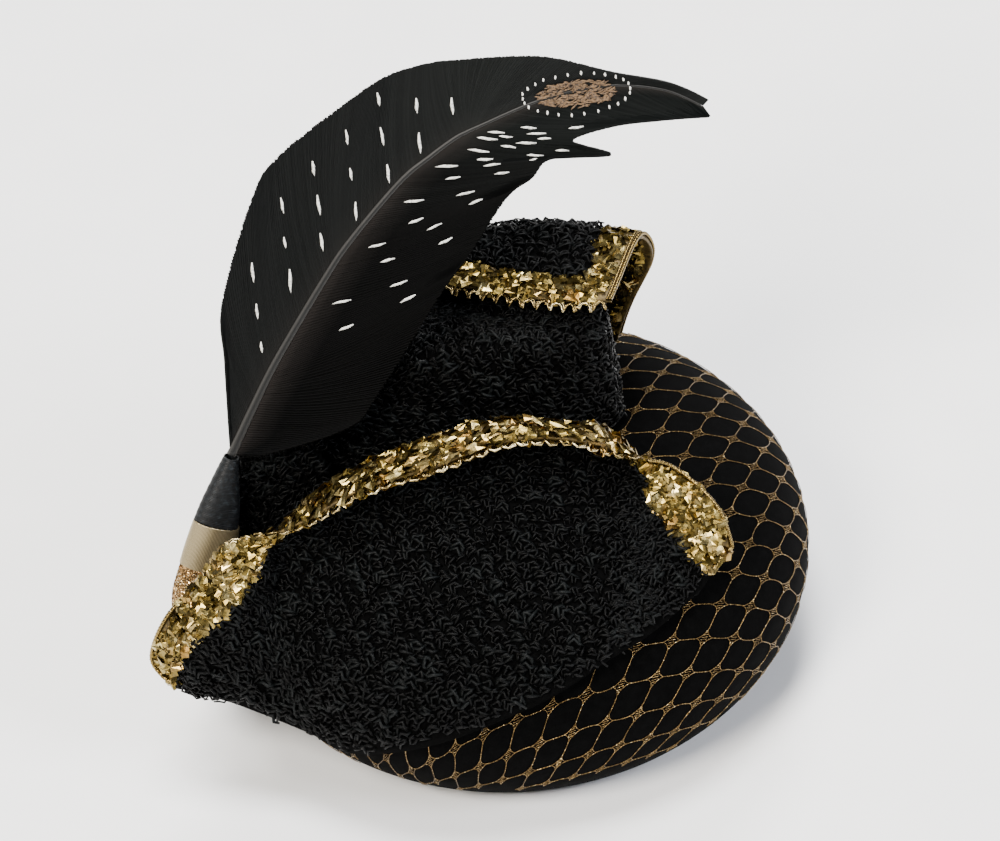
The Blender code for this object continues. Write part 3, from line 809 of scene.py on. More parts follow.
class ThreadTool(NodeTool):
    """Draws a flat or twisted thread along every loose edge chain, facing the way that its points say."""

    def __init__(self) -> None:
        """Build the tree."""
        super().__init__("lay_threads")
        tree = self.tree
        width, thickness = self.size("Width"), self.size("Thickness")
        step, pitch, sides = self.size("Step"), self.size("Twist pitch"), self.size("Sides", "Int", 6)
        lines = add_node(tree, "GeometryNodeMeshToCurve", {"Mesh": self.source.outputs["Geometry"]})
        even = add_node(tree, "GeometryNodeResampleCurve",
                        {"Curve": lines.outputs["Curve"], "Length": step}, mode="LENGTH")
        facing = add_node(tree, "GeometryNodeInputNamedAttribute", {"Name": "facing"},
                          data_type="FLOAT_VECTOR")
        turned = add_node(tree, "GeometryNodeSetCurveNormal", {
            "Curve": even.outputs["Curve"], "Normal": facing.outputs["Attribute"]}, mode="FREE")
        run = add_node(tree, "GeometryNodeSplineParameter").outputs["Length"]
        turns = add_node(tree, "ShaderNodeMath", {0: run, 1: pitch}, operation="DIVIDE")
        tilt = add_node(tree, "ShaderNodeMath", {0: turns, 1: 2 * math.pi}, operation="MULTIPLY")
        wound = add_node(tree, "GeometryNodeSetCurveTilt", {"Curve": turned.outputs["Curve"], "Tilt": tilt})
        half = add_node(tree, "ShaderNodeMath", {0: width, 1: 0.5}, operation="MULTIPLY")
        ring = add_node(tree, "GeometryNodeCurvePrimitiveCircle", {"Resolution": sides, "Radius": half})
        ratio = add_node(tree, "ShaderNodeMath", {0: thickness, 1: width}, operation="DIVIDE")
        squash = add_node(tree, "ShaderNodeCombineXYZ", {"X": ratio, "Y": 1.0, "Z": 1.0})
        where = add_node(tree, "GeometryNodeInputPosition").outputs[0]
        flat = add_node(tree, "ShaderNodeVectorMath", {0: where, 1: squash}, operation="MULTIPLY")
        profile = add_node(tree, "GeometryNodeSetPosition",
                           {"Geometry": ring.outputs["Curve"], "Position": flat})
        drawn = add_node(tree, "GeometryNodeCurveToMesh", {
            "Curve": wound.outputs["Curve"], "Profile Curve": profile.outputs["Geometry"],
            "Fill Caps": True})
        self.close(drawn.outputs["Mesh"])


class FlakeTool(NodeTool):
    """Strews small flakes over a surface, each at its own tilt."""

    def __init__(self) -> None:
        """Build the tree."""
        super().__init__("strew_flakes")
        tree = self.tree
        density, lean, seed = self.size("Density"), self.size("Lean"), self.size("Seed", "Int")
        flake = add_node(tree, "GeometryNodeObjectInfo",
                         {"Object": self.size("Flake", "Object"), "As Instance": True})
        spots = add_node(tree, "GeometryNodeDistributePointsOnFaces", {
            "Mesh": self.source.outputs["Geometry"], "Density": density, "Seed": seed})
        least = add_node(tree, "ShaderNodeMath", {0: lean, 1: -1.0}, operation="MULTIPLY")
        low = add_node(tree, "ShaderNodeCombineXYZ", {"X": least, "Y": least, "Z": -math.pi})
        high = add_node(tree, "ShaderNodeCombineXYZ", {"X": lean, "Y": lean, "Z": math.pi})
        wild = add_node(tree, "FunctionNodeRandomValue", {0: low, 1: high, "Seed": seed},
                        data_type="FLOAT_VECTOR")
        euler = add_node(tree, "FunctionNodeEulerToRotation", {"Euler": wild})
        rotation = add_node(tree, "FunctionNodeRotateRotation", {
            "Rotation": spots.outputs["Rotation"], "Rotate By": euler}, rotation_space="LOCAL")
        self.set_down(seed, {
            "Points": spots.outputs["Points"], "Instance": flake.outputs["Geometry"], "Rotation": rotation})


# Shapes that are repeated


class Strand(Enum):
    """How a strand of a stitch is drawn."""

    ROUND = "round"
    FLAT = "flat"


@dataclass
class StitchShape:
    """One stitch, made of a few short strands. Its x runs along the row, y across the rows and z outwards."""

    name: str
    strands: Sequence[Sequence[tuple[float, float, float]]]
    width: float
    thickness: float
    kind: Strand = Strand.ROUND
    wander: float = 0.25 * MM
    ends: float = 1.0               # width of the strand at its ends, against its middle
    seed: int = 1

    def build(self) -> Thing:
        """Build the stitch.

        Returns:
            A small object, removed again once it has been scattered.
        """
        chance = np.random.default_rng(self.seed)
        points: list[Array] = []
        faces: list[tuple[int, ...]] = []
        for strand in self.strands:
            line = np.array(strand, float) * MM + chance.normal(0, self.wander, (len(strand), 3))
            ways = unit(np.gradient(line, axis=0))
            swell = self.ends + (1 - self.ends) * np.sin(np.linspace(0, math.pi, len(line)) ** 0.9)
            base = len(points)
            for spot, way, share in zip(line, ways, swell):
                side = np.cross([0.0, 0.0, 1.0], way)
                if np.linalg.norm(side) < 0.1:
                    side = np.array([1.0, 0.0, 0.0])
                side = side / np.linalg.norm(side)
                up = np.cross(way, side)
                if self.kind is Strand.FLAT:
                    roll = chance.uniform(-0.6, 0.6)
                    cos, sin = math.cos(roll), math.sin(roll)
                    side, up = side * cos + up * sin, up * cos - side * sin
                wide, thick = side * self.width / 2 * share, up * self.thickness / 2
                points += [spot + wide, spot + thick, spot - wide, spot - thick]
            for k in range(len(line) - 1):
                for i in range(4):
                    a, b = base + k * 4 + i, base + k * 4 + (i + 1) % 4
                    faces.append((a, b, b + 4, a + 4))
            last = base + (len(line) - 1) * 4
            faces += [(base + 3, base + 2, base + 1, base), (last, last + 1, last + 2, last + 3)]
        mesh = plain_mesh(self.name, np.array(points), faces, placed=False)
        if self.kind is Strand.ROUND:
            mesh.shade_smooth()
        return new_object(self.name, mesh)


RAFFIA_STRANDS = (
    ((-1.6, -2.4, -0.9), (-1.9, -0.6, 1.2), (-0.8, 1.1, 1.7), (0.8, 2.3, 0.2)),
    ((1.8, -2.3, -0.6), (1.2, -0.6, 1.6), (0.2, 0.9, 1.3), (-1.2, 2.3, -0.4)),
    ((-2.5, -1.0, -0.7), (-0.8, 0.4, -1.6), (0.9, -0.2, -1.6), (2.5, 1.0, -0.7)),
    ((-2.6, 0.6, 0.4), (-0.9, 1.7, 1.7), (0.9, 1.2, 1.9), (2.4, -0.3, 0.5)),
    ((-2.3, -1.6, 0.7), (-0.7, -0.9, 1.9), (0.8, -1.5, 1.8), (2.5, -0.9, 0.4)),
)
RIBBON_STRANDS = (
    ((-2.2, -1.9, -0.6), (-1.4, 0.2, 1.6), (-0.3, 2.2, 0.4)),
    ((2.1, -2.0, -0.4), (1.3, 0.0, 1.7), (0.2, 2.0, 0.5)),
    ((-2.4, 1.0, -1.0), (0.0, 0.2, -1.7), (2.4, -0.8, -1.0)),
    ((-2.2, -0.5, 0.6), (0.1, -1.3, 2.0), (2.5, -0.3, 0.6)),
)
DASH_STRANDS = (((0.0, -2.6, 0.0), (0.0, -1.2, 0.05), (0.0, 0.6, 0.05), (0.0, 2.6, 0.0)),)
CORD_STRANDS = (
    ((-1.5, -1.9, -0.5), (-0.7, -0.8, 0.9), (0.6, 0.8, 0.9), (1.5, 1.9, -0.5)),
    ((-0.9, -2.1, -0.5), (-0.2, -0.9, 0.7), (0.9, 0.6, 0.7), (1.9, 1.6, -0.5)),
)
LOOP_STRANDS = (
    ((-2.5, -1.6, 0.0), (-2.0, 0.7, 0.3), (0.0, 1.7, 0.4), (2.0, 0.7, 0.3), (2.5, -1.6, 0.0)),
    ((-2.2, -2.2, 0.5), (-1.4, 0.1, 0.9), (0.2, 0.9, 0.9), (1.6, -0.2, 0.8), (2.3, -2.4, 0.4)),
)


@dataclass
class Spots:
    """Places for repeated shapes, with the directions and the size of each."""

    place: Array
    facing: Array
    row: Array
    grow: Array

    def joined(self, other: "Spots") -> "Spots":
        """These spots and another set."""
        pairs = ((self.place, other.place), (self.facing, other.facing), (self.row, other.row),
                 (self.grow, other.grow))
        return Spots(*(np.concatenate(pair) for pair in pairs))

    def mesh(self, name: str) -> Mesh:
        """Loose points with their directions and sizes."""
        made = plain_mesh(name, self.place)
        for key, values in (("facing", self.facing), ("along", self.row), ("grow", self.grow)):
            store(made, key, values)
        return made


@dataclass
class Workshop:
    """The tools and the repeated shapes that all sub-assemblies share."""

    scatter: ScatterTool = field(default_factory=ScatterTool)
    threads: ThreadTool = field(default_factory=ThreadTool)
    flakes: FlakeTool = field(default_factory=FlakeTool)
    shapes: dict[str, list[Thing]] = field(default_factory=dict)

    def __post_init__(self) -> None:
        """Build three versions of each stitch."""
        plans = (("raffia", RAFFIA_STRANDS, 1.15 * MM, 0.6 * MM, Strand.ROUND, 0.5 * MM, 0.6),
                 ("ribbon", RIBBON_STRANDS, 3.3 * MM, 0.35 * MM, Strand.FLAT, 0.4 * MM, 0.85),
                 ("cord", CORD_STRANDS, 0.95 * MM, 0.8 * MM, Strand.ROUND, 0.08 * MM, 0.8),
                 ("loop", LOOP_STRANDS, 0.9 * MM, 0.7 * MM, Strand.ROUND, 0.15 * MM, 1.0),
                 ("dash", DASH_STRANDS, 1.15 * MM, 0.18 * MM, Strand.ROUND, 0.1 * MM, 0.1))
        for name, *plan in plans:
            self.shapes[name] = [StitchShape(f"{name}_{seed}", *plan, seed).build() for seed in (11, 12, 13)]

    def sew(self, name: str, spots: Spots, shape: str, finish: Finish, lean: float, turn: float,
            spread: float,
            seed: int) -> Thing:
        """Scatter one of the repeated shapes.

        Args:
            name: Name of the finished object.
            spots: Where the shapes go.
            shape: Which shape.
            finish: Its finish.
            lean: Most random tilt in radians.
            turn: Most random turn in the row in radians.
            spread: Random share of the size.
            seed: Fixes the chance.

        Returns:
            The finished object.
        """
        first, second, third = self.shapes[shape]
        return self.scatter.run(name, spots.mesh(name + "_spots"), finish.material(), {
            "First shape": first, "Second shape": second, "Third shape": third,
            "Lean": lean, "Turn": turn, "Size spread": spread, "Seed": seed})

    def close(self) -> None:
        """Remove the repeated shapes."""
        for shapes in self.shapes.values():
            for shape in shapes:
                bpy.data.objects.remove(shape, do_unlink=True)


# Surfaces


@dataclass(frozen=True)
class Dome:
    """The felt's outer surface, a flattened ball on a flat rim."""

    radius: float = 104.0 * MM
    rise: float = 61.5 * MM
    drop: float = 36.0 * MM

    def height(self, x: Array, y: Array) -> Array:
        """Height of the felt over the rim."""
        return self.drop + self.rise * np.sqrt(np.maximum(1 - (x * x + y * y) / self.radius ** 2, 0.0))

    def split(self, points: Array) -> tuple[Array, Array]:
        """Directions from the middle, and distances as shares of the felt's."""
        flat = (points - [0, 0, self.drop]) / [self.radius, self.radius, self.rise]
        return unit(flat), np.linalg.norm(flat, axis=-1)

    def join(self, ways: Array, shares: Array) -> Array:
        """Places for directions and shares."""
        radii = [self.radius, self.radius, self.rise]
        return ways * np.asarray(shares)[..., None] * radii + [0, 0, self.drop]

    def clear(self, points: Array, least: float) -> Array:
        """Places pushed out to a least share."""
        ways, shares = self.split(points)
        return self.join(ways, np.maximum(shares, least))


class Sheet:
    """A knitted piece as a family of paths from its lower border to its free edge."""

    def __init__(self, paths: Sequence[Array], seams: Sequence[float], rows: int = 161) -> None:
        """Measure the paths.

        Args:
            paths: Places along each path, from the left end to the right.
            seams: Distance along each path to where the edging starts.
            rows: Number of places kept on each path.
        """
        kept = [resampled(path, rows) for path in paths]
        self.table = np.array([k[0] for k in kept])
        self.length = np.array([k[1] for k in kept])
        self.seam = np.array(seams)
        self.outwards = 1.0

    def at(self, values: Array, across: Array) -> Array:
        """Numbers kept for each path, at places across."""
        return np.interp(across, np.linspace(0, 1, len(values)), values)

    def seam_at(self, across: Array) -> Array:
        """Distance to where the edging starts."""
        return self.at(self.seam, across)

    def end_at(self, across: Array) -> Array:
        """Distance to the free edge."""
        return self.at(self.length, across)

    def place(self, across: Array, distance: Array) -> Array:
        """Places on the sheet.

        Args:
            across: Shares across.
            distance: Distances along the paths.

        Returns:
            One place for each pair.
        """
        count, rows = self.table.shape[:2]
        f = np.clip(across, 0, 1) * (count - 1)
        i = np.minimum(f.astype(int), count - 2)
        g = np.clip(distance / self.end_at(across), 0, 1) * (rows - 1)
        j = np.minimum(g.astype(int), rows - 2)
        s, t = (f - i)[:, None], (g - j)[:, None]
        near = self.table[i, j] * (1 - t) + self.table[i, j + 1] * t
        far = self.table[i + 1, j] * (1 - t) + self.table[i + 1, j + 1] * t
        return near * (1 - s) + far * s

    def directions(self, across: Array, distance: Array) -> tuple[Array, Array]:
        """Directions on the sheet.

        Args:
            across: Shares across.
            distance: Distances along the paths.

        Returns:
            The outward directions and the directions of the rows.
        """
        step, reach = 0.004, 1.5 * MM
        left, right = (self.place(np.clip(across + side, 0, 1), distance) for side in (-step, step))
        row = right - left
        down = self.place(across, distance + reach) - self.place(across, np.maximum(distance - reach, 0))
        return unit(np.cross(row, down)) * self.outwards, unit(row)

    def face_away(self, centre: Sequence[float]) -> None:
        """Settle which side is outside.

        Args:
            centre: A place on the inner side.
        """
        middle = (np.array([0.5]), np.array([float(self.length.mean()) * 0.3]))
        facing, _ = self.directions(*middle)
        if float((facing[0] * (self.place(*middle)[0] - np.array(centre))).sum()) < 0:
            self.outwards = -1.0

    def rows(self, start: Profile, step: float, pitch: float, count: int,
             inside: Choice, size: float = 1.0,
             jitter: float = 0.4 * MM) -> Spots:
        """Rows of stitches beside each other.

        Args:
            start: Distance of the first row at places across.
            step: From row to row, negative towards the lower border.
            pitch: From stitch to stitch.
            count: Most rows.
            inside: Whether a place across and a distance belong to the piece.
            size: Size of each stitch against its shape.
            jitter: How far a stitch strays from its place in the row.

        Returns:
            The stitches' spots.
        """
        shares, depths = [], []
        across = np.linspace(0, 1, 1201)
        for k in range(count):
            distance = start(across) + step * (k + 0.5)
            kept = (distance > 0) & (distance < self.end_at(across)) & inside(across, distance)
            if kept.sum() < 2:
                continue
            line = self.place(across, distance)
            gaps = np.linalg.norm(np.diff(line, axis=0), axis=1) * (kept[1:] & kept[:-1])
            run = np.concatenate([[0.0], np.cumsum(gaps)])
            marks = np.arange(0.25 + 0.5 * (k % 2), run[-1] / pitch) * pitch
            picked = np.interp(marks, run, across)
            shares.append(picked)
            depths.append(np.interp(picked, across, distance))
        a, d = np.concatenate(shares), np.concatenate(depths)
        facing, row = self.directions(a, d)
        chance = np.random.default_rng(len(a))
        shift = chance.normal(0, jitter, (3, len(a), 1))
        place = self.place(a, d) + row * shift[0] + np.cross(facing, row) * shift[1] + facing * shift[2] * 0.4
        return Spots(place, facing, row, np.full((len(a), 3), size))

    def ground(self, name: str, columns: int, rows: int, low: Profile,
               high: Profile, wall: float, finish: Finish,
               left: float = 0.0, right: float = 1.0) -> tuple[Thing, float]:
        """Thin closed sheet under the stitches.

        Args:
            name: Name of the object.
            columns: Corners across.
            rows: Corners along the paths.
            low: Distance where it starts, at places across.
            high: Distance where it ends.
            wall: Its thickness.
            finish: Its finish.
            left: Share across where it starts.
            right: Share across where it ends.

        Returns:
            The object and the area of the sheet.
        """
        a = np.repeat(np.linspace(left, right, columns), rows)
        t = np.tile(np.linspace(0, 1, rows), columns)
        points = self.place(a, low(a) + (high(a) - low(a)) * t)
        facing, _ = self.directions(a, low(a) + (high(a) - low(a)) * t)
        faces = grid_faces(columns, rows)
        corners = points[np.array(faces)]
        crossed = np.cross(corners[:, 2] - corners[:, 0], corners[:, 3] - corners[:, 1])
        area = 0.5 * np.linalg.norm(crossed, axis=1).sum()
        count = len(points)
        both = np.concatenate([points + facing * wall / 2, points - facing * wall / 2])
        border = [k * rows for k in range(columns)] + [(columns - 1) * rows + k for k in range(1, rows)]
        border += [k * rows + rows - 1 for k in range(columns - 2, -1, -1)] + list(range(rows - 2, 0, -1))
        rim = [(border[k], border[(k + 1) % len(border)]) for k in range(len(border))]
        walls = [(i, j, j + count, i + count) for i, j in rim]
        back = [tuple(v + count for v in reversed(f)) for f in faces]
        mesh = plain_mesh(name, both, faces + back + walls)
        face_out(mesh)
        return new_object(name, mesh, finish.material()), float(area)


def rounded(points: Sequence[Array], corner: int, passes: int = 130,
            step: float = 1.0 * MM) -> tuple[Array, float]:
    """Smooth close-spaced path through a few places.

    Args:
        points: The places.
        corner: Which of them starts the edging.
        passes: How often the path is evened out.
        step: Spacing along the path.

    Returns:
        The path and the distance along it to that place.
    """
    path: list[Array] = []
    marked = 0
    for k, (a, b) in enumerate(zip(points, points[1:])):
        if k == corner:
            marked = len(path)
        pieces = max(int(np.linalg.norm(b - a) / step), 1)
        path += [a + (b - a) * i / pieces for i in range(pieces)]
    path.append(points[-1])
    line = np.array(path)
    for _ in range(passes):
        line[1:-1] = (line[:-2] + 2 * line[1:-1] + line[2:]) / 4
    return line, float(np.linalg.norm(np.diff(line[:marked + 1], axis=0), axis=1).sum())


# Sub-assemblies


@dataclass
class FeltCap:
    """The blocked felt cap: a turned shell with a rounded rim."""

    dome: Dome
    wall: float = 2.5 * MM
    sides: int = 160
    rows: int = 64

    def build(self) -> Thing:
        """Turn the shell and dress it.

        Returns:
            The cap.
        """
        low = -math.asin(self.dome.drop / self.dome.rise)
        inner_rise = self.dome.rise - self.wall
        low_inner = -math.asin(self.dome.drop / inner_rise)
        outer = [(self.dome.radius * math.cos(t), self.dome.drop + self.dome.rise * math.sin(t))
                 for t in np.linspace(math.pi / 2, low, self.rows)]
        inner = [((self.dome.radius - self.wall) * math.cos(t), self.dome.drop + inner_rise * math.sin(t))
                 for t in np.linspace(low_inner, math.pi / 2, self.rows)]
        profile = outer + inner
        turns = np.linspace(0, 2 * math.pi, self.sides, endpoint=False)
        points = np.array([(r * math.cos(t), r * math.sin(t), z) for t in turns for r, z in profile])
        mesh = plain_mesh("felt_cap", points, grid_faces(self.sides, len(profile), True))
        face_out(mesh, doubles=True)
        return hand_in(new_object("felt_cap", mesh, BlackFelt().material()), "black_felt", "cap")


@dataclass
class Netting:
    """Gilt netting: knots that open into little ladders, joined by twisted threads."""

    dome: Dome
    hem: Sequence[Sequence[float]]
    crown_middle: tuple[float, float]
    crown_half: tuple[float, float]
    crown_square: float
    row_step: float = 14.7 * MM
    cross_step: float = 15.3 * MM
    row_turn: float = math.radians(14.4)
    cross_turn: float = math.radians(66.9)
    start: tuple[float, float] = (54.0 * MM, 23.4 * MM)
    lift: float = 0.25 * MM
    lowest: float = math.radians(-16.0)
    ends: tuple[float, float] = (math.radians(-140.0), math.radians(56.0))
    under_hem: float = math.radians(-1.0)
    reach: int = 14                 # lozenges each way from the start that are looked through
    rungs: tuple = (                # height and half width of each rung in a knot
        (-0.12, 0.055), (-0.05, 0.085), (0.02, 0.09), (0.09, 0.075), (0.15, 0.05))
    bend: float = 0.25              # where a thread starts to bend into its knot, as a share of the step
    waist: float = 0.06             # how near the bends come to the knot's middle
    thread: float = 0.37 * MM

    def spread(self, flat: Array) -> Array:
        """Lay flat spots on the felt, with their distances and directions from the middle kept.

        Args:
            flat: Spots of the netting laid flat.

        Returns:
            Their places on the felt.
        """
        turns = np.linspace(0, math.pi / 2 + 0.6, 400)
        gaps = np.hypot(self.dome.radius * np.cos(turns), self.dome.rise * np.sin(turns))
        run = np.concatenate([[0], np.cumsum((gaps[1:] + gaps[:-1]) / 2 * np.diff(turns))])
        turn = np.interp(np.hypot(flat[:, 0], flat[:, 1]), run, turns)
        way = np.arctan2(flat[:, 1], flat[:, 0])
        ways = np.stack([np.sin(turn) * np.cos(way), np.sin(turn) * np.sin(way), np.cos(turn)], axis=1)
        radii = np.array([self.dome.radius, self.dome.radius, self.dome.rise])
        return ways * (radii + self.lift) + [0, 0, self.dome.drop]

    def kept(self, point: Array) -> bool:
        """Whether a lozenge lies where the cap shows.

        Args:
            point: The lozenge's middle.

        Returns:
            False under the crown and the brims, and on the hidden back.
        """
        way = unit((point - [0, 0, self.dome.drop]) / [self.dome.radius, self.dome.radius, self.dome.rise])
        latitude, around = math.asin(way[2]), math.atan2(way[1], way[0])
        if latitude < self.lowest or not self.ends[0] < around < self.ends[1]:
            return False
        across = abs(point[0] - self.crown_middle[0]) / self.crown_half[0]
        back = abs(point[1] - self.crown_middle[1]) / self.crown_half[1]
        if across ** self.crown_square + back ** self.crown_square < 1.0:
            return False
        if around > math.atan2(self.hem[-1][1], self.hem[-1][0]):
            return True
        rows = along(self.hem, np.linspace(0, 1, 61))
        nearest = rows[np.argmin(np.abs(np.arctan2(rows[:, 1], rows[:, 0]) - around))]
        hem = self.dome.split(nearest[None, :3] * self.dome.radius)[0][0]
        return latitude < math.asin(hem[2]) + self.under_hem

    def build(self, shop: Workshop) -> Thing:
        """Lay the threads.

        Args:
            shop: The shared tools.

        Returns:
            The netting.
        """
        a = np.array([math.cos(self.row_turn), math.sin(self.row_turn)]) * self.row_step
        b = np.array([math.cos(self.cross_turn), math.sin(self.cross_turn)]) * self.cross_step
        numbers = range(-self.reach, self.reach)
        cells = [(i, j) for i in numbers for j in numbers]
        middles = self.spread(np.array([self.start + a * (i + 0.5) + b * (j + 0.5) for i, j in cells]))
        cells = [cell for cell, middle in zip(cells, middles) if self.kept(middle)]
        knots = sorted({(i + p, j + q) for i, j in cells for p in (0, 1) for q in (0, 1)})
        sides = sorted({((i, j + q), (i + 1, j + q)) for i, j in cells for q in (0, 1)}
                       | {((i + p, j), (i + p, j + 1)) for i, j in cells for p in (0, 1)})
        r, w = self.bend, self.waist
        ways = np.array([(1.0, 0.0), (0.0, 1.0), (-1.0, 0.0), (0.0, -1.0)])
        lines = [[(i + (m - i) * r, j + (n - j) * r), (m - (m - i) * r, n - (n - j) * r)]
                 for (i, j), (m, n) in sides]
        for i, j in knots:
            middle = np.array([i, j])
            for first, last in zip(ways, np.roll(ways, -1, axis=0)):
                shares = np.linspace(0, 1, 7)[:, None]
                bent = (first * r * (1 - shares) ** 2 + last * r * shares ** 2
                        + (first + last) * w * 2 * shares * (1 - shares))
                lines.append([tuple(spot) for spot in middle + bent])
            for height, half in self.rungs:
                lines.append([(i - half, j + height), (i + half, j + height + 0.02)])
        points, edges = [], []
        chance = np.random.default_rng(5)
        for line in lines:
            long = len(line) == 2 and np.hypot(*(np.array(line[1]) - line[0])) > 0.3
            count = 9 if long else max(len(line), 3)
            shares = np.linspace(0, 1, count)
            sway = chance.normal(0, 0.02 if long else 0.006, 2)
            spots = along(line, shares) + np.sin(shares * math.pi)[:, None] * sway
            edges += [(len(points) + k, len(points) + k + 1) for k in range(count - 1)]
            points += list(spots)
        lattice = np.array(points)
        places_on = self.spread(np.array(self.start) + lattice[:, :1] * a + lattice[:, 1:] * b)
        mesh = plain_mesh("netting_lines", places_on, edges=edges)
        store(mesh, "facing", self.dome.split(places_on)[0])
        net = shop.threads.run("gilt_netting", mesh, GiltThread().material(), {
            "Width": self.thread, "Thickness": self.thread * 0.55, "Step": 0.6 * MM,
            "Twist pitch": 2.2 * MM, "Sides": 5})
        net.data.shade_smooth()
        return hand_in(net, "gold_thread", "net")


@dataclass
class KnitPiece:
    """What the crocheted pieces share."""

    dome: Dome
    pitch: float = 4.1 * MM
    row: float = 3.7 * MM
    gold_pitch: float = 4.3 * MM
    gold_row: float = 3.6 * MM
    loop_pitch: float = 5.0 * MM
    loop_inset: float = 2.6 * MM    # how far a row of loops starts from the free edge
    joint: float = 0.3 * MM         # gap between black crochet and gilt crochet, on each side of the seam
    cord: float = 1.6 * MM
    uneven: float = 1.3             # widest part of a band against its mean width
    wall: float = 1.2 * MM
    width_at: float = 20.0 * MM     # distance along the paths where a band's width is measured

    def measured(self, across: Array) -> Array:
        """Distance along the paths where a band's width is measured."""
        return np.full_like(across, self.width_at)

    def dress(self, shop: Workshop, name: str, spots: Spots, gold: bool, seed: int) -> Thing:
        """Sew the stitches of one colour.

        Args:
            shop: The shared tools.
            name: Name of the object.
            spots: Where the stitches go.
            gold: Whether they are gilt.
            seed: Fixes the chance.

        Returns:
            The stitches.
        """
        if gold:
            return hand_in(shop.sew(name, spots, "ribbon", GiltRibbon(), 0.28, 0.6, 0.12, seed),
                           "gold_crochet")
        return hand_in(shop.sew(name, spots, "raffia", BlackRaffia(), 0.4, 0.75, 0.18, seed),
                       "black_crochet")

    def loops(self, shop: Workshop, name: str, sheet: Sheet, first: float, last: float, seed: int) -> Thing:
        """Sew a row of round loops along the free edge.

        Args:
            shop: The shared tools.
            name: Name of the object.
            sheet: The piece that they lie on.
            first: Share across where the row starts.
            last: Share across where it ends.
            seed: Fixes the chance.

        Returns:
            The loops.
        """
        rim = sheet.rows(lambda a: sheet.end_at(a) - self.loop_inset, self.loop_pitch, self.loop_pitch, 1,
                         lambda a, d: (a > first) & (a < last), jitter=0.2 * MM)
        return hand_in(shop.sew(name, rim, "loop", GiltCord(), 0.15, 0.1, 0.1, seed), "gold_crochet")

    def declare(self, sheet: Sheet, ground: Thing, area: float, depth: Profile,
                rests_on: str, stitches: Sequence[Thing], left: float = 0.0, right: float = 1.0) -> None:
        """Measure the width of a band of crochet along the paths; the width is not kept.

        Args:
            sheet: The piece that the band is part of.
            ground: The band. Not used.
            area: Its flat area. Not used.
            depth: Distance along the paths where its width is measured, at places across.
            rests_on: The piece that it is sewn to or lies on. Not used.
            stitches: What goes with it. Not used.
            left: Share across where it starts.
            right: Share across where it ends.
        """
        share = np.linspace(left, right, 200)
        wide = float(np.linalg.norm(np.diff(sheet.place(share, depth(share)), axis=0), axis=1).sum())

    def border(self, shop: Workshop, name: str, sheet: Sheet, lines: Sequence[tuple[Array, Array]],
               lift: float) -> Thing:
        """Lay plain gilt cords over an edging's border.

        Args:
            shop: The shared tools.
            name: Name of the object.
            sheet: The piece that they lie on.
            lines: For each cord, its shares across and its distances along the paths.
            lift: Height over the sheet, as a share of the cord's width.

        Returns:
            The cords.
        """
        points, facings, edges = [], [], []
        for share, depth in lines:
            facing = sheet.directions(share, depth)[0]
            edges += [(len(points) + k, len(points) + k + 1) for k in range(len(share) - 1)]
            points += list(sheet.place(share, depth) + facing * self.cord * lift)
            facings += list(facing)
        mesh = plain_mesh(name + "_lines", np.array(points), edges=edges)
        store(mesh, "facing", np.array(facings))
        cords = shop.threads.run(name, mesh, GiltCord().material(), {
            "Width": self.cord, "Thickness": self.cord * 0.8, "Step": 0.7 * MM, "Twist pitch": 3.0 * MM,
            "Sides": 8})
        cords.data.shade_smooth()
        return hand_in(cords, "gold_crochet")


@dataclass
class Crown(KnitPiece):
    """The small crocheted crown: a squared oval that stands on the cap."""

    middle: tuple[float, float] = (-16.0 * MM, 9.0 * MM)
    half: tuple[float, float] = (59.0 * MM, 23.0 * MM)
    top: float = 138.5 * MM
    lean: float = 7.0 * MM
    square: float = 3.2
    shoulder: float = 0.16
    base_gap: float = 2.0 * MM
    taper: float = 0.95
    skin: float = 1.5 * MM          # half the knit

    def path(self, around: float) -> Array:
        """Path from the base up to the middle of the top, on the outer face less half the knit.

        Args:
            around: Turn round the crown's middle.

        Returns:
            Places along the path.
        """
        ups = np.linspace(0, 1, 90)
        turned = 1 / (abs(math.cos(around)) ** self.square
                      + abs(math.sin(around)) ** self.square) ** (1 / self.square)
        wall_end = 1 - 3 * self.shoulder
        over = np.clip((ups - wall_end) / (1 - wall_end), 0, 1)
        arc = np.minimum(over / 0.45, 1) * math.pi / 2
        rise = np.where(ups <= wall_end, ups / wall_end * 0.9, 0.9 + 0.1 * np.sin(arc))
        reach = np.where(ups <= wall_end, 1.0, 1 - 0.12 * (1 - np.cos(arc)))
        reach = reach * np.where(over > 0.45, (1 - over) / 0.55, 1.0)
        size = reach * (1 + (self.taper - 1) * rise)
        half = (self.half[0] - self.skin, self.half[1] - self.skin)
        x = self.middle[0] + half[0] * turned * math.cos(around) * size
        y = self.middle[1] + half[1] * turned * math.sin(around) * size + self.lean * rise
        foot = self.dome.height(x, y) + self.base_gap
        return np.stack([x, y, foot + (self.top - self.skin - foot) * rise], axis=1)

    def build(self, shop: Workshop) -> list[Thing]:
        """Build the crown.

        Args:
            shop: The shared tools.

        Returns:
            Its ground and its stitches.
        """
        paths = [self.path(t) for t in np.linspace(math.pi / 2, math.pi / 2 + 2 * math.pi, 181)]
        sheet = Sheet(paths, [resampled(p, 10)[1] for p in paths])
        sheet.face_away((self.middle[0], self.middle[1], 0.05))
        ground, _ = sheet.ground("crown_ground", 120, 50, np.zeros_like, lambda a: sheet.end_at(a) * 0.995,
                                 self.wall, BlackGround())
        hand_in(ground, "black_crochet", "crown")
        spots = sheet.rows(np.zeros_like, self.row, self.pitch, 40,
                           lambda a, d: d < sheet.end_at(a) - self.skin)
        stitches = self.dress(shop, "crown_stitches", spots, False, 21)
        return [ground, stitches]


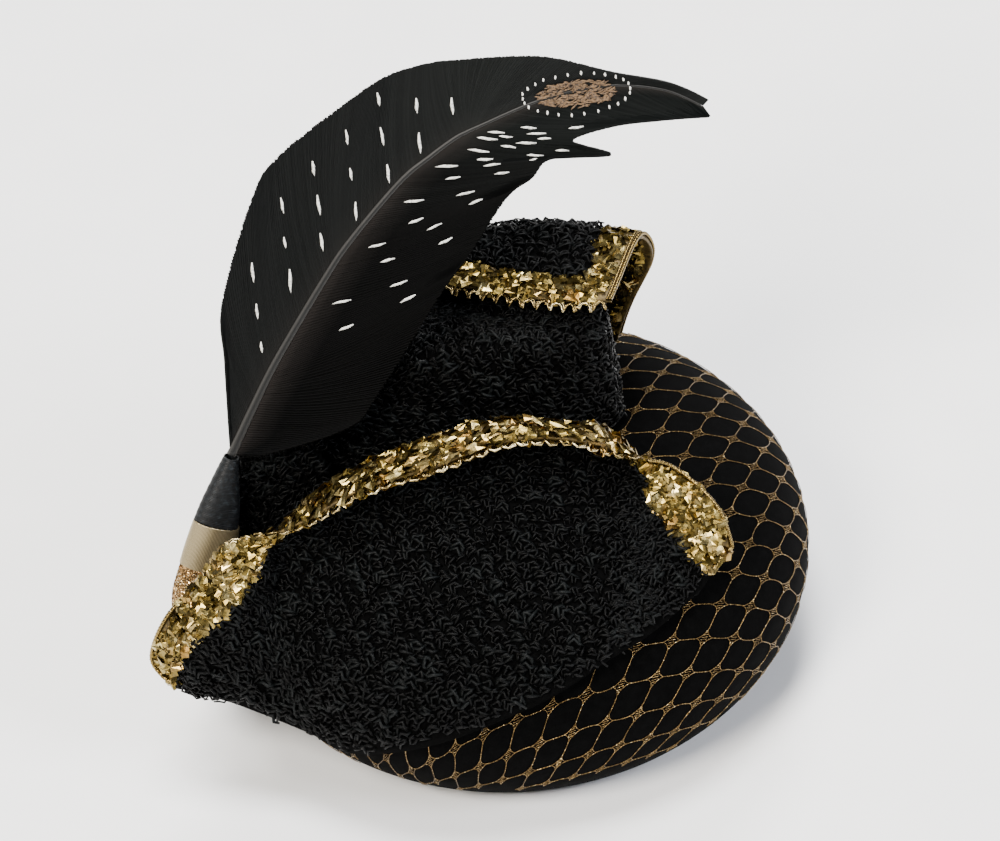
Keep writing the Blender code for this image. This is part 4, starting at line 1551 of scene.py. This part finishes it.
@dataclass
class FrontBrim(KnitPiece):
    """The front brim with its rolled gilt edging."""

    neck_drop: float = 20.0 * MM
    neck_out: float = 6.0 * MM
    clearance: float = 1.055
    belly_power: float = 1.9
    chain: tuple[float, float] = (0.3, 0.78)     # stretch of the seam that shows the slanted cords
    chain_pitch: float = 2.9 * MM
    bare: tuple[float, float] = (0.2, 0.8)       # plain cords on the free edge before and past these
    bare_strip: float = 2.2 * MM
    hem_bare: float = 2.9 * MM      # strip at the hem without stitches
    chain_back: float = 1.9 * MM    # how far from the seam the slanted cords lie
    chain_rise: float = 0.9 * MM
    width_at: float = 30.0 * MM

    def path(self, row: Array) -> tuple[Array, float]:
        """Path from the hem to the free edge.

        Args:
            row: A row of the table of stations.

        Returns:
            Places along the path, and the distance to its fold.
        """
        hem = self.dome.clear(row[0:3] * self.dome.radius, self.clearance)
        fold = self.dome.clear(row[3:6] * self.dome.radius, self.clearance)
        edge = row[6:9] * self.dome.radius
        above = max(float(fold[2] - self.dome.height(fold[0], fold[1])), 0.0)
        outward = unit(np.array([fold[0], fold[1] - self.dome.radius / 2, 0.0]))
        neck = fold + outward * min(above * 0.25, self.neck_out) - [0, 0, min(above * 0.75, self.neck_drop)]
        neck = self.dome.clear(neck, self.clearance)
        (start, end), (low, high) = self.dome.split(np.array([hem, neck]))
        points = []
        for k in range(10):
            t = k / 10
            way = unit(start * (1 - t) + end * t)
            points.append(self.dome.clear(self.dome.join(way, low + (high - low) * t ** self.belly_power),
                                          self.clearance))
        return rounded([*points, neck, fold, edge], 11)

    def build(self, shop: Workshop) -> list[Thing]:
        """Build the brim and its edging.

        Args:
            shop: The shared tools.

        Returns:
            All its pieces.
        """
        made = [self.path(row) for row in along(FRONT_STATIONS, np.linspace(0, 1, 181))]
        sheet = Sheet([m[0] for m in made], [m[1] for m in made])
        sheet.face_away((0, 0, 0.03))
        seam, total = sheet.seam_at, sheet.end_at
        ground, area = sheet.ground("front_brim_ground", 130, 50, np.zeros_like,
                                    lambda a: seam(a) - self.joint, self.wall, BlackGround())
        hand_in(ground, "black_crochet", "front_brim")
        black = sheet.rows(seam, -self.row, self.pitch, 60,
                           lambda a, d: (d > self.hem_bare) & (a > 0.01) & (a < 0.992))
        stitches = self.dress(shop, "front_brim_stitches", black, False, 31)
        self.declare(sheet, ground, area, self.measured, "felt_cap", [stitches])
        gilt, gilt_area = sheet.ground("front_edging_ground", 150, 14, lambda a: seam(a) + self.joint,
                                       lambda a: total(a) - 0.8 * MM, self.wall, GiltGround())
        hand_in(gilt, "gold_crochet", "front_edging")
        first, last = self.bare
        clear = lambda a: np.where((a < first) | (a > last), self.bare_strip, 0.2 * MM)
        gold = sheet.rows(seam, self.gold_row, self.gold_pitch, 8,
                          lambda a, d: d < total(a) - 0.3 * MM - clear(a))
        extra = sheet.rows(lambda a: seam(a) - 0.5 * MM, self.gold_row, self.gold_pitch * 1.3, 8,
                           lambda a, d: d < total(a) - clear(a))
        gold = gold.joined(extra)
        gold.place = gold.place + gold.facing * 0.2 * MM
        ribbon = self.dress(shop, "front_edging_stitches", gold, True, 41)
        self.declare(sheet, gilt, gilt_area, lambda a: seam(a) + 1 * MM, "front_brim_ground", [ribbon])
        cords = sheet.rows(lambda a: seam(a) - self.chain_back, self.chain_pitch, self.chain_pitch, 1,
                           lambda a, d: (a > self.chain[0]) & (a < self.chain[1]), jitter=0.1 * MM)
        cords.place = cords.place + cords.facing * self.chain_rise
        chain = hand_in(shop.sew("front_edging_chain", cords, "cord", GiltCord(), 0.06, 0.08, 0.06, 42),
                        "gold_crochet")
        loops = self.loops(shop, "front_edging_loops", sheet, first, last, 43)
        left, right = np.linspace(0.004, first - 0.01, 80), np.linspace(last + 0.01, 0.996, 80)
        lines = [(a, total(a) - self.cord * 0.4) for a in (left, right)]
        for at in (0.004, 0.996):
            share = np.full(30, at)
            lines.append((share, np.linspace(seam(share), total(share) - self.cord * 0.4, 30)[:, 0]))
        return [ground, stitches, gilt, ribbon, chain, loops,
                self.border(shop, "front_end_cords", sheet, lines, 0.8)]


@dataclass
class LeftGusset(KnitPiece):
    """Crochet that closes the left side, from the crown to behind the quill."""

    near_quill: tuple = ((-101.0, -17.0, 52.0), (-102.0, -16.0, 74.0), (-98.0, -14.0, 96.0),
                         (-92.0, -12.0, 112.0))
    near_crown: tuple = ((-64.0, -20.0, 84.0), (-64.0, -19.0, 98.0), (-64.0, -14.0, 112.0),
                         (-64.0, -10.0, 124.0))

    def build(self, shop: Workshop) -> list[Thing]:
        """Build the gusset.

        Args:
            shop: The shared tools.

        Returns:
            Its ground and its stitches.
        """
        ups = np.linspace(0, 1, 60)
        left, right = along(self.near_quill, ups) * MM, along(self.near_crown, ups) * MM
        bow = np.array([0.0, -3.0 * MM, 0.0])
        paths = [left * (1 - s) + right * s + bow * math.sin(s * math.pi) for s in np.linspace(0, 1, 41)]
        sheet = Sheet(paths, [resampled(p, 10)[1] for p in paths])
        sheet.face_away((-0.07, 0.05, 0.08))
        ground, area = sheet.ground("left_gusset_ground", 30, 30, np.zeros_like,
                                    lambda a: sheet.end_at(a) * 0.998, self.wall, BlackGround())
        hand_in(ground, "black_crochet")
        spots = sheet.rows(np.zeros_like, self.row, self.pitch, 40, lambda a, d: d > -1)
        stitches = self.dress(shop, "left_gusset_stitches", spots, False, 25)
        self.declare(sheet, ground, area, self.measured, "crown_ground", [stitches])
        return [ground, stitches]


@dataclass
class BackBrim(KnitPiece):
    """The back brim, folded forward over the crown, with gilt edging on its fold and its right end."""

    bulge: float = 0.07
    base_lift: float = 3.5 * MM
    end_width: float = 13.0 * MM
    cords_at: tuple[float, ...] = (0.986, 0.999)    # shares across where plain cords run round the right end
    looped: tuple[float, float] = (0.1, 0.97)       # stretch of the free edge that has loops
    opens_at: float = 0.84          # share across where the fold starts to open
    loop: tuple = (                 # share along the end, and how far it moves across and up in mm
        (0.0, -1.0, 0.0), (0.2, -3.0, 0.0), (0.38, 4.5, 0.0), (0.6, -7.0, -4.0), (0.8, -3.0, -1.0),
        (1.0, -1.0, 0.0))

    def path(self, row: Array, end: float) -> Array:
        """Path from the base over the fold to the free edge.

        Args:
            row: A row of the table of stations.
            end: Share across, 1 at the right end, where the fold opens to a loop.

        Returns:
            Places along the path.
        """
        x, y = row[0] * self.dome.radius, row[1] * self.dome.radius
        base = np.array([x, y, float(self.dome.height(x, y)) + self.base_lift])
        fold, edge = row[2:5] * self.dome.radius, row[5:8] * self.dome.radius
        outward = unit(np.array([x, y, 0.0])) * self.bulge * np.linalg.norm(fold - base)
        points = [base, base + (fold - base) * 0.3 + outward * 0.8, base + (fold - base) * 0.65 + outward,
                  fold, edge]
        line = rounded(points, 3)[0]
        shift = np.array(self.loop)
        share = np.linspace(0, 1, len(line))
        opening = np.stack([np.interp(share, shift[:, 0], shift[:, 1]), np.zeros(len(line)),
                            np.interp(share, shift[:, 0], shift[:, 2])], axis=1) * MM
        for _ in range(200):
            opening[1:-1] = (opening[:-2] + 2 * opening[1:-1] + opening[2:]) / 4
        return line + opening * max(0.0, (end - self.opens_at) / (1 - self.opens_at)) ** 1.5

    def build(self, shop: Workshop) -> list[Thing]:
        """Build the brim and its edging.

        Args:
            shop: The shared tools.

        Returns:
            All its pieces.
        """
        across = np.linspace(0, 1, 181)
        paths = [self.path(row, end) for row, end in zip(along(BACK_STATIONS, across), across)]
        lengths = [resampled(p, 10)[1] for p in paths]
        sheet = Sheet(paths, [length - self.end_width for length in lengths])
        sheet.face_away((0, 0, 0.06))
        ends = sheet.place(np.linspace(0.75, 1, 11), np.zeros(11))
        inner_end = 1 - self.end_width / (np.linalg.norm(np.diff(ends, axis=0), axis=1).sum() / 0.25)
        seam, total = sheet.seam_at, sheet.end_at
        ground, area = sheet.ground("back_brim_ground", 110, 60, np.zeros_like,
                                    lambda a: seam(a) - self.joint, self.wall, BlackGround(), 0.0, inner_end)
        hand_in(ground, "black_crochet", "back_brim")
        black = sheet.rows(seam, -self.row, self.pitch, 60,
                           lambda a, d: (d > 1.0 * MM) & (a < inner_end - 0.006))
        stitches = self.dress(shop, "back_brim_stitches", black, False, 51)
        self.declare(sheet, ground, area, self.measured, "felt_cap", [stitches])
        strip, strip_area = sheet.ground("back_edging_ground", 110, 14, lambda a: seam(a) + self.joint,
                                         lambda a: total(a) - 2.5 * MM, self.wall, GiltGround())
        end, end_area = sheet.ground("back_end_ground", 10, 60, np.zeros_like, lambda a: seam(a) + 0.5 * MM,
                                     self.wall, GiltGround(), inner_end, 1.0)
        hand_in(strip, "gold_crochet", "back_edging")
        hand_in(end, "gold_crochet")
        self.declare(sheet, strip, strip_area, lambda a: seam(a) + 1 * MM, "back_brim_ground", [])
        self.declare(sheet, end, end_area, self.measured, "back_brim_ground", [], inner_end)
        gold = sheet.rows(seam, self.gold_row, self.gold_pitch, 8,
                          lambda a, d: (d < total(a) - 0.5 * MM) & (a < self.cords_at[0] - 0.014))
        lower = sheet.rows(seam, -self.gold_row, self.gold_pitch, 60,
                           lambda a, d: (d > 0.5 * MM) & (a > inner_end) & (a < self.cords_at[0] - 0.014))
        far = Spots(lower.place - lower.facing * (self.wall + 0.6 * MM), -lower.facing, lower.row,
                    lower.grow)
        ribbon = self.dress(shop, "back_edging_stitches", gold.joined(lower).joined(far), True, 61)
        loops = self.loops(shop, "back_edging_loops", sheet, *self.looped, 62)
        depths = np.linspace(0.03, 0.98, 90)
        lines = [(np.full(90, at), depths * float(total(np.array([at]))[0])) for at in self.cords_at]
        return [ground, stitches, strip, end, ribbon, loops,
                self.border(shop, "back_end_cords", sheet, lines, 0.9)]


class Side(Enum):
    """The feather's two vanes, with the columns of the table that hold their edges."""

    OUTER = 2
    INNER = 4


@dataclass
class Feather:
    """The big feather: barbs laid side by side along a tapering shaft, with painted dashes."""

    length: float = 190.0 * MM
    foot: tuple[float, float, float] = (-95.5 * MM, -22.5 * MM, 117.2 * MM)
    lean: float = 0.45
    cup: float = 0.06
    shaft_foot: float = 1.75 * MM
    shaft_tip: float = 0.35 * MM
    sweep: float = 0.74             # below 1, the barbs lean towards the tip
    barbs: int = 620
    barb_width: float = 0.95 * MM
    barb_thickness: float = 0.2 * MM
    ring: tuple[float, float] = (0.700, 0.628)      # middle of the painted ring, in shares of the length

    def plane(self, across: Array, up: Array, forward: Array | float = 0.0) -> Array:
        """Places for spots of the feather's own plane.

        Args:
            across: Shares of the feather's length across.
            up: Shares of its length up.
            forward: How far in front of the plane.

        Returns:
            One place for each spot.
        """
        lean = math.hypot(1.0, self.lean)
        rise = up * self.length / lean
        base = np.stack([self.foot[0] + across * self.length, self.foot[1] + rise * self.lean,
                         self.foot[2] + rise], axis=-1)
        return base + self.normal() * np.asarray(forward)[..., None]

    def normal(self) -> Array:
        """Direction that the feather's face looks in."""
        lean = math.hypot(1.0, self.lean)
        return np.array([0.0, -1.0 / lean, self.lean / lean])

    def shaft_radius(self, where: Array) -> Array:
        """Radius of the shaft from quill to tip."""
        return self.shaft_foot + (self.shaft_tip - self.shaft_foot) * where ** 0.6

    def vane(self, side: Side, where: Array, reach: Array) -> Array:
        """Places of a vane.

        Args:
            side: Which vane.
            where: Shares along the shaft.
            reach: Shares along a barb.

        Returns:
            One place for each pair.
        """
        root = along(FEATHER_STATIONS, where)[:, 0:2]
        tip = along(FEATHER_STATIONS, np.clip(where, 0, 1) ** self.sweep)[:, side.value:side.value + 2]
        ahead, behind = along(FEATHER_STATIONS, where + 0.01), along(FEATHER_STATIONS, where - 0.01)
        way = unit(ahead[:, :2] - behind[:, :2])
        out = tip - root
        width = np.linalg.norm(out, axis=1)
        wide = np.maximum(width, 1e-9)
        slant = np.maximum(np.abs(way[:, 0] * out[:, 1] - way[:, 1] * out[:, 0]) / wide, 0.25)
        start = np.minimum(self.shaft_radius(where) * 0.8 / self.length / wide / slant, 0.9)
        share = start + (1 - start) * reach
        sweep = np.sin(share * math.pi) * width * -0.05
        spot = root + out * share[:, None] + way * sweep[:, None]
        return self.plane(spot[:, 0], spot[:, 1], self.cup * width * self.length * reach * reach)

    def build_vane(self, shop: Workshop, side: Side, name: str, node: str) -> Thing:
        """Lay the barbs of one vane.

        Args:
            shop: The shared tools.
            side: Which vane.
            name: Name of the object.
            node: The solid that it stands for.

        Returns:
            The vane.
        """
        chance = np.random.default_rng(71 + side.value)
        count = 13
        where = np.repeat(np.linspace(0.004, 0.998, self.barbs), count)
        reach = np.tile(np.linspace(0, 1, count), self.barbs)
        short = np.repeat(1 - np.abs(chance.normal(0, 0.006, self.barbs)), count)
        points = self.vane(side, where, reach * short)
        points += self.normal() * np.repeat(np.arange(self.barbs) % 2, count)[:, None] * 0.04 * MM
        edges = [(b * count + k, b * count + k + 1) for b in range(self.barbs) for k in range(count - 1)]
        mesh = plain_mesh(name + "_lines", points, edges=edges)
        tilt = chance.normal(0.12, 0.05, self.barbs)
        leaning = np.repeat(tilt, count)[:, None] * np.array([0.5, 0.0, 0.8])[None, :]
        store(mesh, "facing", unit(self.normal()[None, :] + leaning))
        store(mesh, "reach", reach)
        # rise along the shaft also places the painted shade towards the foot
        store(mesh, "rise", where)
        store(mesh, "tone", np.repeat(chance.random(self.barbs), count))
        finish = InnerBarb() if side is Side.INNER else FeatherBarb()
        vane = shop.threads.run(name, mesh, finish.material(), {
            "Width": self.barb_width, "Thickness": self.barb_thickness, "Step": 6.0 * MM,
            "Twist pitch": 1000.0, "Sides": 4})
        return hand_in(vane, "black_feather", node)

    def build_shaft(self) -> Thing:
        """Loft the shaft: a tapering oval rod.

        Returns:
            The shaft.
        """
        rows, sides = 90, 12
        where = np.linspace(0, 1, rows)
        table = along(FEATHER_STATIONS, where * 0.995)
        middle = self.plane(table[:, 0], table[:, 1])
        way = unit(np.gradient(middle, axis=0))
        across = unit(np.cross(way, self.normal()))
        radius = self.shaft_radius(where)
        points, tones = [], []
        for k in range(sides):
            turn = 2 * math.pi * k / sides
            points.append(middle + across * (radius * math.cos(turn))[:, None]
                          + self.normal() * (radius * 0.85 * math.sin(turn))[:, None])
            tones.append(np.full(rows, abs(math.cos(turn))))
        faces = grid_faces(sides, rows, True) + [tuple(k * rows for k in range(sides)),
                                                 tuple(k * rows + rows - 1 for k in reversed(range(sides)))]
        mesh = plain_mesh("feather_shaft_rod", np.concatenate(points), faces)
        store(mesh, "side", np.concatenate(tones))
        face_out(mesh)
        return hand_in(new_object("feather_shaft_rod", mesh, FeatherShaft().material()), "feather_shaft",
                       "feather_shaft")

    def dabs(self) -> tuple[Spots, Spots]:
        """Lay out the painted dabs by rule: columns, pairs along the shaft, and a ring with tan inside.

        Returns:
            Spots of the white dabs and of the tan ones.
        """
        t, u = (g.ravel() for g in np.meshgrid(np.linspace(0.04, 0.97, 260), np.linspace(0.02, 0.95, 60)))
        outer, inner = self.vane(Side.OUTER, t, u), self.vane(Side.INNER, t, u)
        both = np.concatenate([outer, inner])
        upright = np.array([0.0, self.lean, 1.0]) / math.hypot(1.0, self.lean)
        white: list[tuple[Array, Array, float, float]] = []
        lift = self.normal() * 0.45 * MM
        for column in range(8):
            across = 0.075 + 0.066 * column
            for step in range(9):
                up = 0.20 + 0.074 * step + 0.030 * (column % 2) + 0.022 * column
                spot = self.plane(np.array(across), np.array(up))
                off = outer - spot
                gap = np.linalg.norm(off - (off @ self.normal())[:, None] * self.normal(), axis=1)
                k = int(np.argmin(gap))
                if gap[k] < 2.0 * MM and 0.14 < u[k] < 0.86 and t[k] < 0.62:
                    white.append((outer[k] + lift, upright, 0.9 + 0.5 * ((column + step) % 3) / 2, 1.0))
        for k, where in enumerate(np.linspace(0.16, 0.70, 15)):
            for reach in ((0.22, 0.58) if k % 2 else (0.38, 0.74)):
                pair = self.vane(Side.INNER, np.array([where, where]), np.array([reach, reach + 0.05]))
                white.append((pair[0] + lift, unit(pair[1] - pair[0]), 1.0 + 0.3 * (k % 2), 0.85))

        def nearest(turn: float, wide: float, high: float) -> Array:
            """Place on the vanes for a spot of an oval round the ring's middle."""
            spot = self.plane(np.array(self.ring[0] + wide * math.cos(turn)),
                              np.array(self.ring[1] + high * math.sin(turn)))
            return both[int(np.argmin(np.linalg.norm(both - spot, axis=1)))]

        for turn in np.linspace(0, 2 * math.pi, 26, endpoint=False):
            white.append((nearest(turn, 0.100, 0.040) + lift, upright, 0.26, 0.75))
        tan = []
        chance = np.random.default_rng(9)
        for _ in range(320):
            turn, far = chance.uniform(0, 2 * math.pi), math.sqrt(chance.random())
            tan.append((nearest(turn, 0.072 * far, 0.026 * far) + lift * (1 + 0.3 * chance.random()),
                        unit(np.array([1.0, 0.05, 0.15])), 0.45, 0.5))
        return tuple(self.as_spots(rows) for rows in (white, tan))

    def as_spots(self, rows: Sequence[tuple[Array, Array, float, float]]) -> Spots:
        """Turn dabs into spots.

        Args:
            rows: Place, stroke, length and width of each dab.

        Returns:
            The spots.
        """
        place = np.array([r[0] for r in rows])
        stroke = np.array([r[1] for r in rows])
        facing = np.tile(self.normal(), (len(rows), 1))
        across = unit(np.cross(stroke, facing))
        grow = np.array([(r[3], r[2], 1.0) for r in rows])
        return Spots(place, facing, across, grow)

    def build(self, shop: Workshop) -> list[Thing]:
        """Build the feather.

        Args:
            shop: The shared tools.

        Returns:
            All its pieces.
        """
        pieces = [self.build_vane(shop, Side.OUTER, "feather_outer_barbs", "feather_outer_vane"),
                  self.build_vane(shop, Side.INNER, "feather_inner_barbs", "feather_inner_vane"),
                  self.build_shaft()]
        white, tan = self.dabs()
        dabs = (shop.sew("white_dabs", white, "dash", Paint(), 0.0, 0.08, 0.12, 81),
                shop.sew("tan_dabs", tan, "dash", TanPaint(), 0.05, 0.5, 0.3, 82))
        return pieces + [hand_in(dab, "black_feather") for dab in dabs]


@dataclass
class Quill:
    """The wrapped quill: black thread, a band of lame and a tuft of glitter cloth."""

    top: tuple[float, float, float] = (-95.5 * MM, -22.5 * MM, 116.2 * MM)
    foot: tuple[float, float, float] = (-114.5 * MM, -34.5 * MM, 62.1 * MM)
    black: tuple = ((0.00, 2.7, 2.6, 0.0), (0.12, 4.2, 3.4, 0.0), (0.32, 6.9, 4.2, 0.6),
                    (0.46, 8.0, 4.6, 1.0))
    lame: tuple = ((0.46, 8.3, 4.9, 1.1), (0.62, 9.2, 5.0, 1.6), (0.77, 9.8, 5.0, 1.9))
    glitter: tuple = ((0.77, 9.5, 4.8, 1.9), (0.97, 9.9, 4.6, 2.4), (1.12, 9.0, 3.8, 2.6))
    sides: int = 64
    flake: float = 0.34 * MM        # radius of a glitter flake

    def sleeve(self, name: str, table: tuple, finish: Finish, rows: int, ripple: Choice,
               wall: float = 0.5 * MM) -> tuple[Thing, tuple[float, float]]:
        """Loft one layer of cloth round the quill.

        Args:
            name: Name of the object.
            table: Rows of share down, half width, half thickness and shift in mm.
            finish: Its finish.
            rows: Corners along it.
            ripple: Extra radius at turns round and shares down.
            wall: Thickness of the cloth.

        Returns:
            The sleeve and its flat size.
        """
        top, foot = np.array(self.top), np.array(self.foot)
        down = unit(foot - top)
        side = unit(np.array([1.0, 0, 0]) - down * down[0])
        front = np.cross(side, down)
        share = np.linspace(0, 1, rows)
        values = along(table, share)
        turns = np.linspace(0, 2 * math.pi, self.sides, endpoint=False)
        outer = []
        for turn in turns:
            extra = ripple(np.full(rows, turn), share)
            wide = values[:, 1] * MM + extra
            deep = values[:, 2] * MM + extra
            outer.append(top + np.outer(values[:, 0], foot - top)
                         + np.outer(values[:, 3] * MM + wide * math.cos(turn), side)
                         + np.outer(deep * math.sin(turn), front))
        shell = np.array(outer)
        spine = shell.mean(axis=0)
        reach = np.linalg.norm(shell - spine, axis=2, keepdims=True)
        inner = spine + (shell - spine) * (1 - wall / np.maximum(reach, wall))
        both = np.concatenate([shell, inner[:, ::-1]], axis=1)
        count = both.shape[1]
        points = both.reshape(-1, 3)
        faces = grid_faces(self.sides, count, True)
        turned = [(i, (i + 1) % self.sides) for i in range(self.sides)]
        faces += [(i * count + count - 1, j * count + count - 1, j * count, i * count) for i, j in turned]
        mesh = plain_mesh(name, points, faces)
        fall = np.concatenate([values[:, 0], values[::-1, 0]]) * np.linalg.norm(foot - top)
        store(mesh, "down", np.tile(fall, self.sides))
        mean = float(values[:, 1].mean() + values[:, 2].mean()) / 2 * MM
        store(mesh, "round", np.repeat(turns * mean, count))
        face_out(mesh)
        round_it = np.diff(np.concatenate([shell, shell[:1]]), axis=0)
        ring = np.linalg.norm(round_it, axis=2).sum(axis=0).mean()
        tall = float(np.linalg.norm(foot - top) * (values[-1, 0] - values[0, 0]))
        return new_object(name, mesh, finish.material()), (float(ring), tall)

    def build(self, shop: Workshop) -> list[Thing]:
        """Build the three layers.

        Args:
            shop: The shared tools.

        Returns:
            All its pieces.
        """
        wrap, flat = self.sleeve("quill_wrapping", self.black, BlackSatin(), 80,
                                 lambda t, s: 0.04 * MM * np.sin(s * 60 + t * 0.5)
                                 + 0.25 * MM * np.sin(t * 3 + s * 4) * s)
        hand_in(wrap, "black_wrapping", "quill_wrap")
        band, flat = self.sleeve("lame_cloth", self.lame, GiltLame(), 40,
                                 lambda t, s: 0.2 * MM * np.sin(t * 2 + s * 3))
        hand_in(band, "gold_metal_cloth", "lame_band")
        tuft, flat = self.sleeve("glitter_cloth_tuft", self.glitter, GlitterGround(), 30,
                                 lambda t, s: 0.5 * MM * np.sin(t * 4 + s * 6) * s)
        corners = [(math.cos(a), math.sin(a), 0) for a in np.linspace(0, 2 * math.pi, 6, False)]
        shape = new_object("flake", plain_mesh("flake", np.array(corners) * self.flake, [tuple(range(6))],
                                               placed=False))
        flakes = shop.flakes.run("glitter_flakes", tuft.data.copy(), GlitterFlake().material(), {
            "Density": 5.0e6, "Lean": 0.6, "Seed": 91, "Flake": shape})
        bpy.data.objects.remove(shape, do_unlink=True)
        hand_in(tuft, "glitter_cloth", "glitter_cloth")
        hand_in(flakes, "glitter_cloth")
        return [wrap, band, tuft, flakes]


# Studio


@dataclass
class Studio:
    """Pale floor, soft lights, and a camera at the photograph's angle."""

    elevation: float = math.radians(42.0)
    roll: float = math.radians(5.77)
    aim: tuple[float, float, float] = (-0.5 * MM, 0.0, 100.3 * MM)
    distance: float = 8.0
    lens: float = 818.0
    floor: float = 6.0              # from the middle to the floor's side
    air: float = 0.22               # strength of the light from all round
    lights: tuple = (               # name, place, size, power and colour
        ("key_light", (-1.5, -2.0, 2.8), 1.4, 210.0, "#fff8ee"),
        ("fill_light", (2.3, -1.4, 2.0), 1.3, 90.0, "#f2f5ff"),
        ("back_light", (0.4, 2.5, 2.4), 1.2, 110.0, "#ffffff"),
        ("top_light", (0.0, 0.2, 3.0), 1.2, 120.0, "#ffffff"))

    def build(self) -> None:
        """Make the floor, the lights and the camera."""
        corners = np.array([(x * self.floor, y * self.floor, -0.4 * MM)
                            for x, y in ((-1, -1), (1, -1), (1, 1), (-1, 1))])
        floor = new_object("studio_floor", plain_mesh("studio_floor", corners, [(0, 1, 2, 3)]),
                           StudioPaper().material())
        world = bpy.data.worlds.new("studio_air")
        world.use_nodes = True
        sky = world.node_tree.nodes["Background"]
        sky.inputs["Color"].default_value = linear("#e6e9ee")
        sky.inputs["Strength"].default_value = self.air
        bpy.context.scene.world = world
        for name, place, size, power, tint in self.lights:
            lamp = bpy.data.lights.new(name, "AREA")
            lamp.shape = "DISK"
            lamp.size = size
            lamp.energy = power
            lamp.color = linear(tint)[:3]
            thing = bpy.data.objects.new(name, lamp)
            thing.location = place
            towards = Vector((0, 0, 0.08)) - Vector(place)
            thing.rotation_euler = towards.to_track_quat("-Z", "Y").to_euler()
            bpy.context.scene.collection.objects.link(thing)
        self.camera()

    def camera(self) -> None:
        """Place the camera at the photograph's height and roll."""
        c, s = math.cos(self.elevation), math.sin(self.elevation)
        right, up, back = Vector((1, 0, 0)), Vector((0, s, c)), Vector((0, -c, s))
        cr, sr = math.cos(self.roll), math.sin(self.roll)
        x, y = right * cr - up * sr, right * sr + up * cr
        lens = bpy.data.cameras.new("photo_camera")
        lens.lens = self.lens
        lens.clip_start, lens.clip_end = 0.05, 50.0
        camera = bpy.data.objects.new("photo_camera", lens)
        turn = Matrix((x, y, back)).transposed().to_4x4()
        aim = Vector(self.aim) + Vector(HAT_PLACE)
        camera.matrix_world = Matrix.Translation(aim + back * self.distance) @ turn
        bpy.context.scene.collection.objects.link(camera)
        bpy.context.scene.camera = camera


def main() -> None:
    """Build the hat piece by piece."""
    logging.basicConfig(level=logging.INFO, format="%(name)s: %(message)s")
    Studio().build()
    shop = Workshop()
    dome = Dome()
    crown = Crown(dome)
    FeltCap(dome).build()
    Netting(dome, FRONT_STATIONS, crown.middle, crown.half, crown.square).build(shop)
    crown.build(shop)
    FrontBrim(dome).build(shop)
    BackBrim(dome).build(shop)
    LeftGusset(dome).build(shop)
    Feather().build(shop)
    Quill().build(shop)
    shop.close()


if __name__ == "__main__":
    main()
